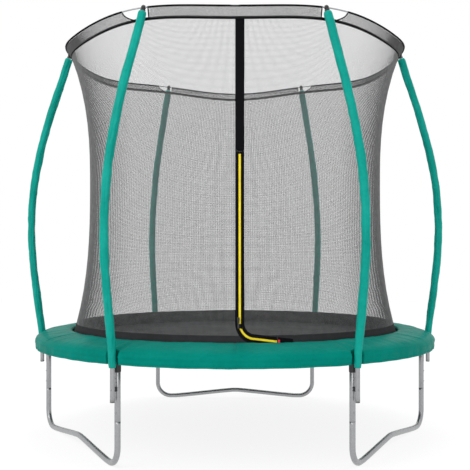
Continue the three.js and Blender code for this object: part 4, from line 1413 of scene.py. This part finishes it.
def slider_mesh(low, high):
    """Zip runner: a flared body with a raised bridge that carries the pull."""
    body = rounded_block(low + Vector((0, 0.0022, 0)), high, 0.0016, BLACK_PLASTIC)
    for v in body.vertices:
        share = (v.co.z - low.z) / (high.z - low.z)
        middle = (low.x + high.x) / 2
        v.co.x = middle + (v.co.x - middle) * (0.80 + 0.20 * smooth_step(share * 1.4))
    x = (low.x + high.x) / 2
    y = low.y + 0.0024
    bridge = tube([(x, y + 0.0012, high.z - 0.004), (x, y - 0.0014, high.z - 0.007),
                   (x, y - 0.0022, (low.z + high.z) / 2 + 0.001), (x, y - 0.0014, low.z + 0.008),
                   (x, y + 0.0012, low.z + 0.005)], 0.0016, BLACK_PLASTIC, 10)
    return joined([body, bridge], "zip_runner")


def pull_mesh():
    """Pull tab: a rounded end at its hinge, a waisted neck and a ribbed grip."""
    low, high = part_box("zip_pull")
    x = (low.x + high.x) / 2
    y_top, y_low = high.y - 0.001, low.y + 0.0012
    rings = []
    for t, half in ((0, 0.0024), (0.06, 0.0036), (0.25, 0.0032), (0.40, 0.0030), (0.50, 0.0042),
                    (0.60, 0.0044), (0.70, 0.0045), (0.80, 0.0044), (0.90, 0.0043), (0.97, 0.0036),
                    (1, 0.0022)):
        y = y_top + (y_low - y_top) * t
        z = high.z + (low.z - high.z) * t
        thick = 0.0010 + (0.0003 if 0.55 < t < 0.95 and int(t * 10) % 2 else 0)
        rings.append([(x - half, y - thick * 0.5, z), (x - half * 0.8, y - thick, z),
                      (x + half * 0.8, y - thick, z), (x + half, y - thick * 0.5, z),
                      (x + half, y + thick * 0.5, z), (x + half * 0.8, y + thick, z),
                      (x - half * 0.8, y + thick, z), (x - half, y + thick * 0.5, z)])
    return lofted(rings, BLACK_PLASTIC)


def stop_mesh():
    low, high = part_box("zip_end_stop")
    block = rounded_block(low, high, 0.0012, RED_PLASTIC)
    x, z = (low.x + high.x) / 2, (low.z + high.z) / 2
    ribs = [tube([(low.x + 0.001, low.y + 0.0002, z + d), (x, low.y - 0.0002, z + d),
                  (high.x - 0.001, low.y + 0.0002, z + d)], 0.0007, RED_PLASTIC, 8)
            for d in (-0.006, -0.002, 0.002, 0.006)]
    return joined([block] + ribs, "zip_red_end")


# ---------- floor and light ----------

def studio():
    half = 14
    mesh = bpy.data.meshes.new("floor")
    mesh.from_pydata([(-half, -half, 0), (half, -half, 0), (half, half, 0), (-half, half, 0)],
                     [], [(0, 1, 2, 3)])
    floor = new_object("studio_floor", shaded(mesh, studio_floor()))

    world = bpy.data.worlds.new("studio")
    bpy.context.scene.world = world
    world.use_nodes = True
    world.node_tree.nodes["Background"].inputs["Color"].default_value = (1, 1, 1, 1)
    world.node_tree.nodes["Background"].inputs["Strength"].default_value = 1.0

    for name, place, target, size, power in (
            ("key", (-3.6, -4.2, 4.6), (0, 0, 0.9), 3.0, 110),
            ("front", (0.0, -6.2, 2.0), (0, 0, 1.5), 1.6, 35),
            ("top", (0.5, 1.4, 6.0), (0, 0, 1.2), 4.5, 150)):
        data = bpy.data.lights.new(name, "AREA")
        data.shape = "SQUARE"
        data.size = size
        data.energy = power
        lamp = bpy.data.objects.new(name, data)
        lamp.location = place
        lamp.rotation_euler = (Vector(target) - Vector(place)).to_track_quat("-Z", "Y").to_euler()
        bpy.context.scene.collection.objects.link(lamp)
    bpy.context.scene.view_settings.view_transform = "Standard"


# ---------- assembly ----------

random.seed(11)
steel_frame()
poles_and_sleeves()
screw_sets()
top_ring()
mat_and_springs()
pad_piece()
pad_seams()
zip_pieces()
net_panels()
band_pieces()
bottom_hem()
studio()
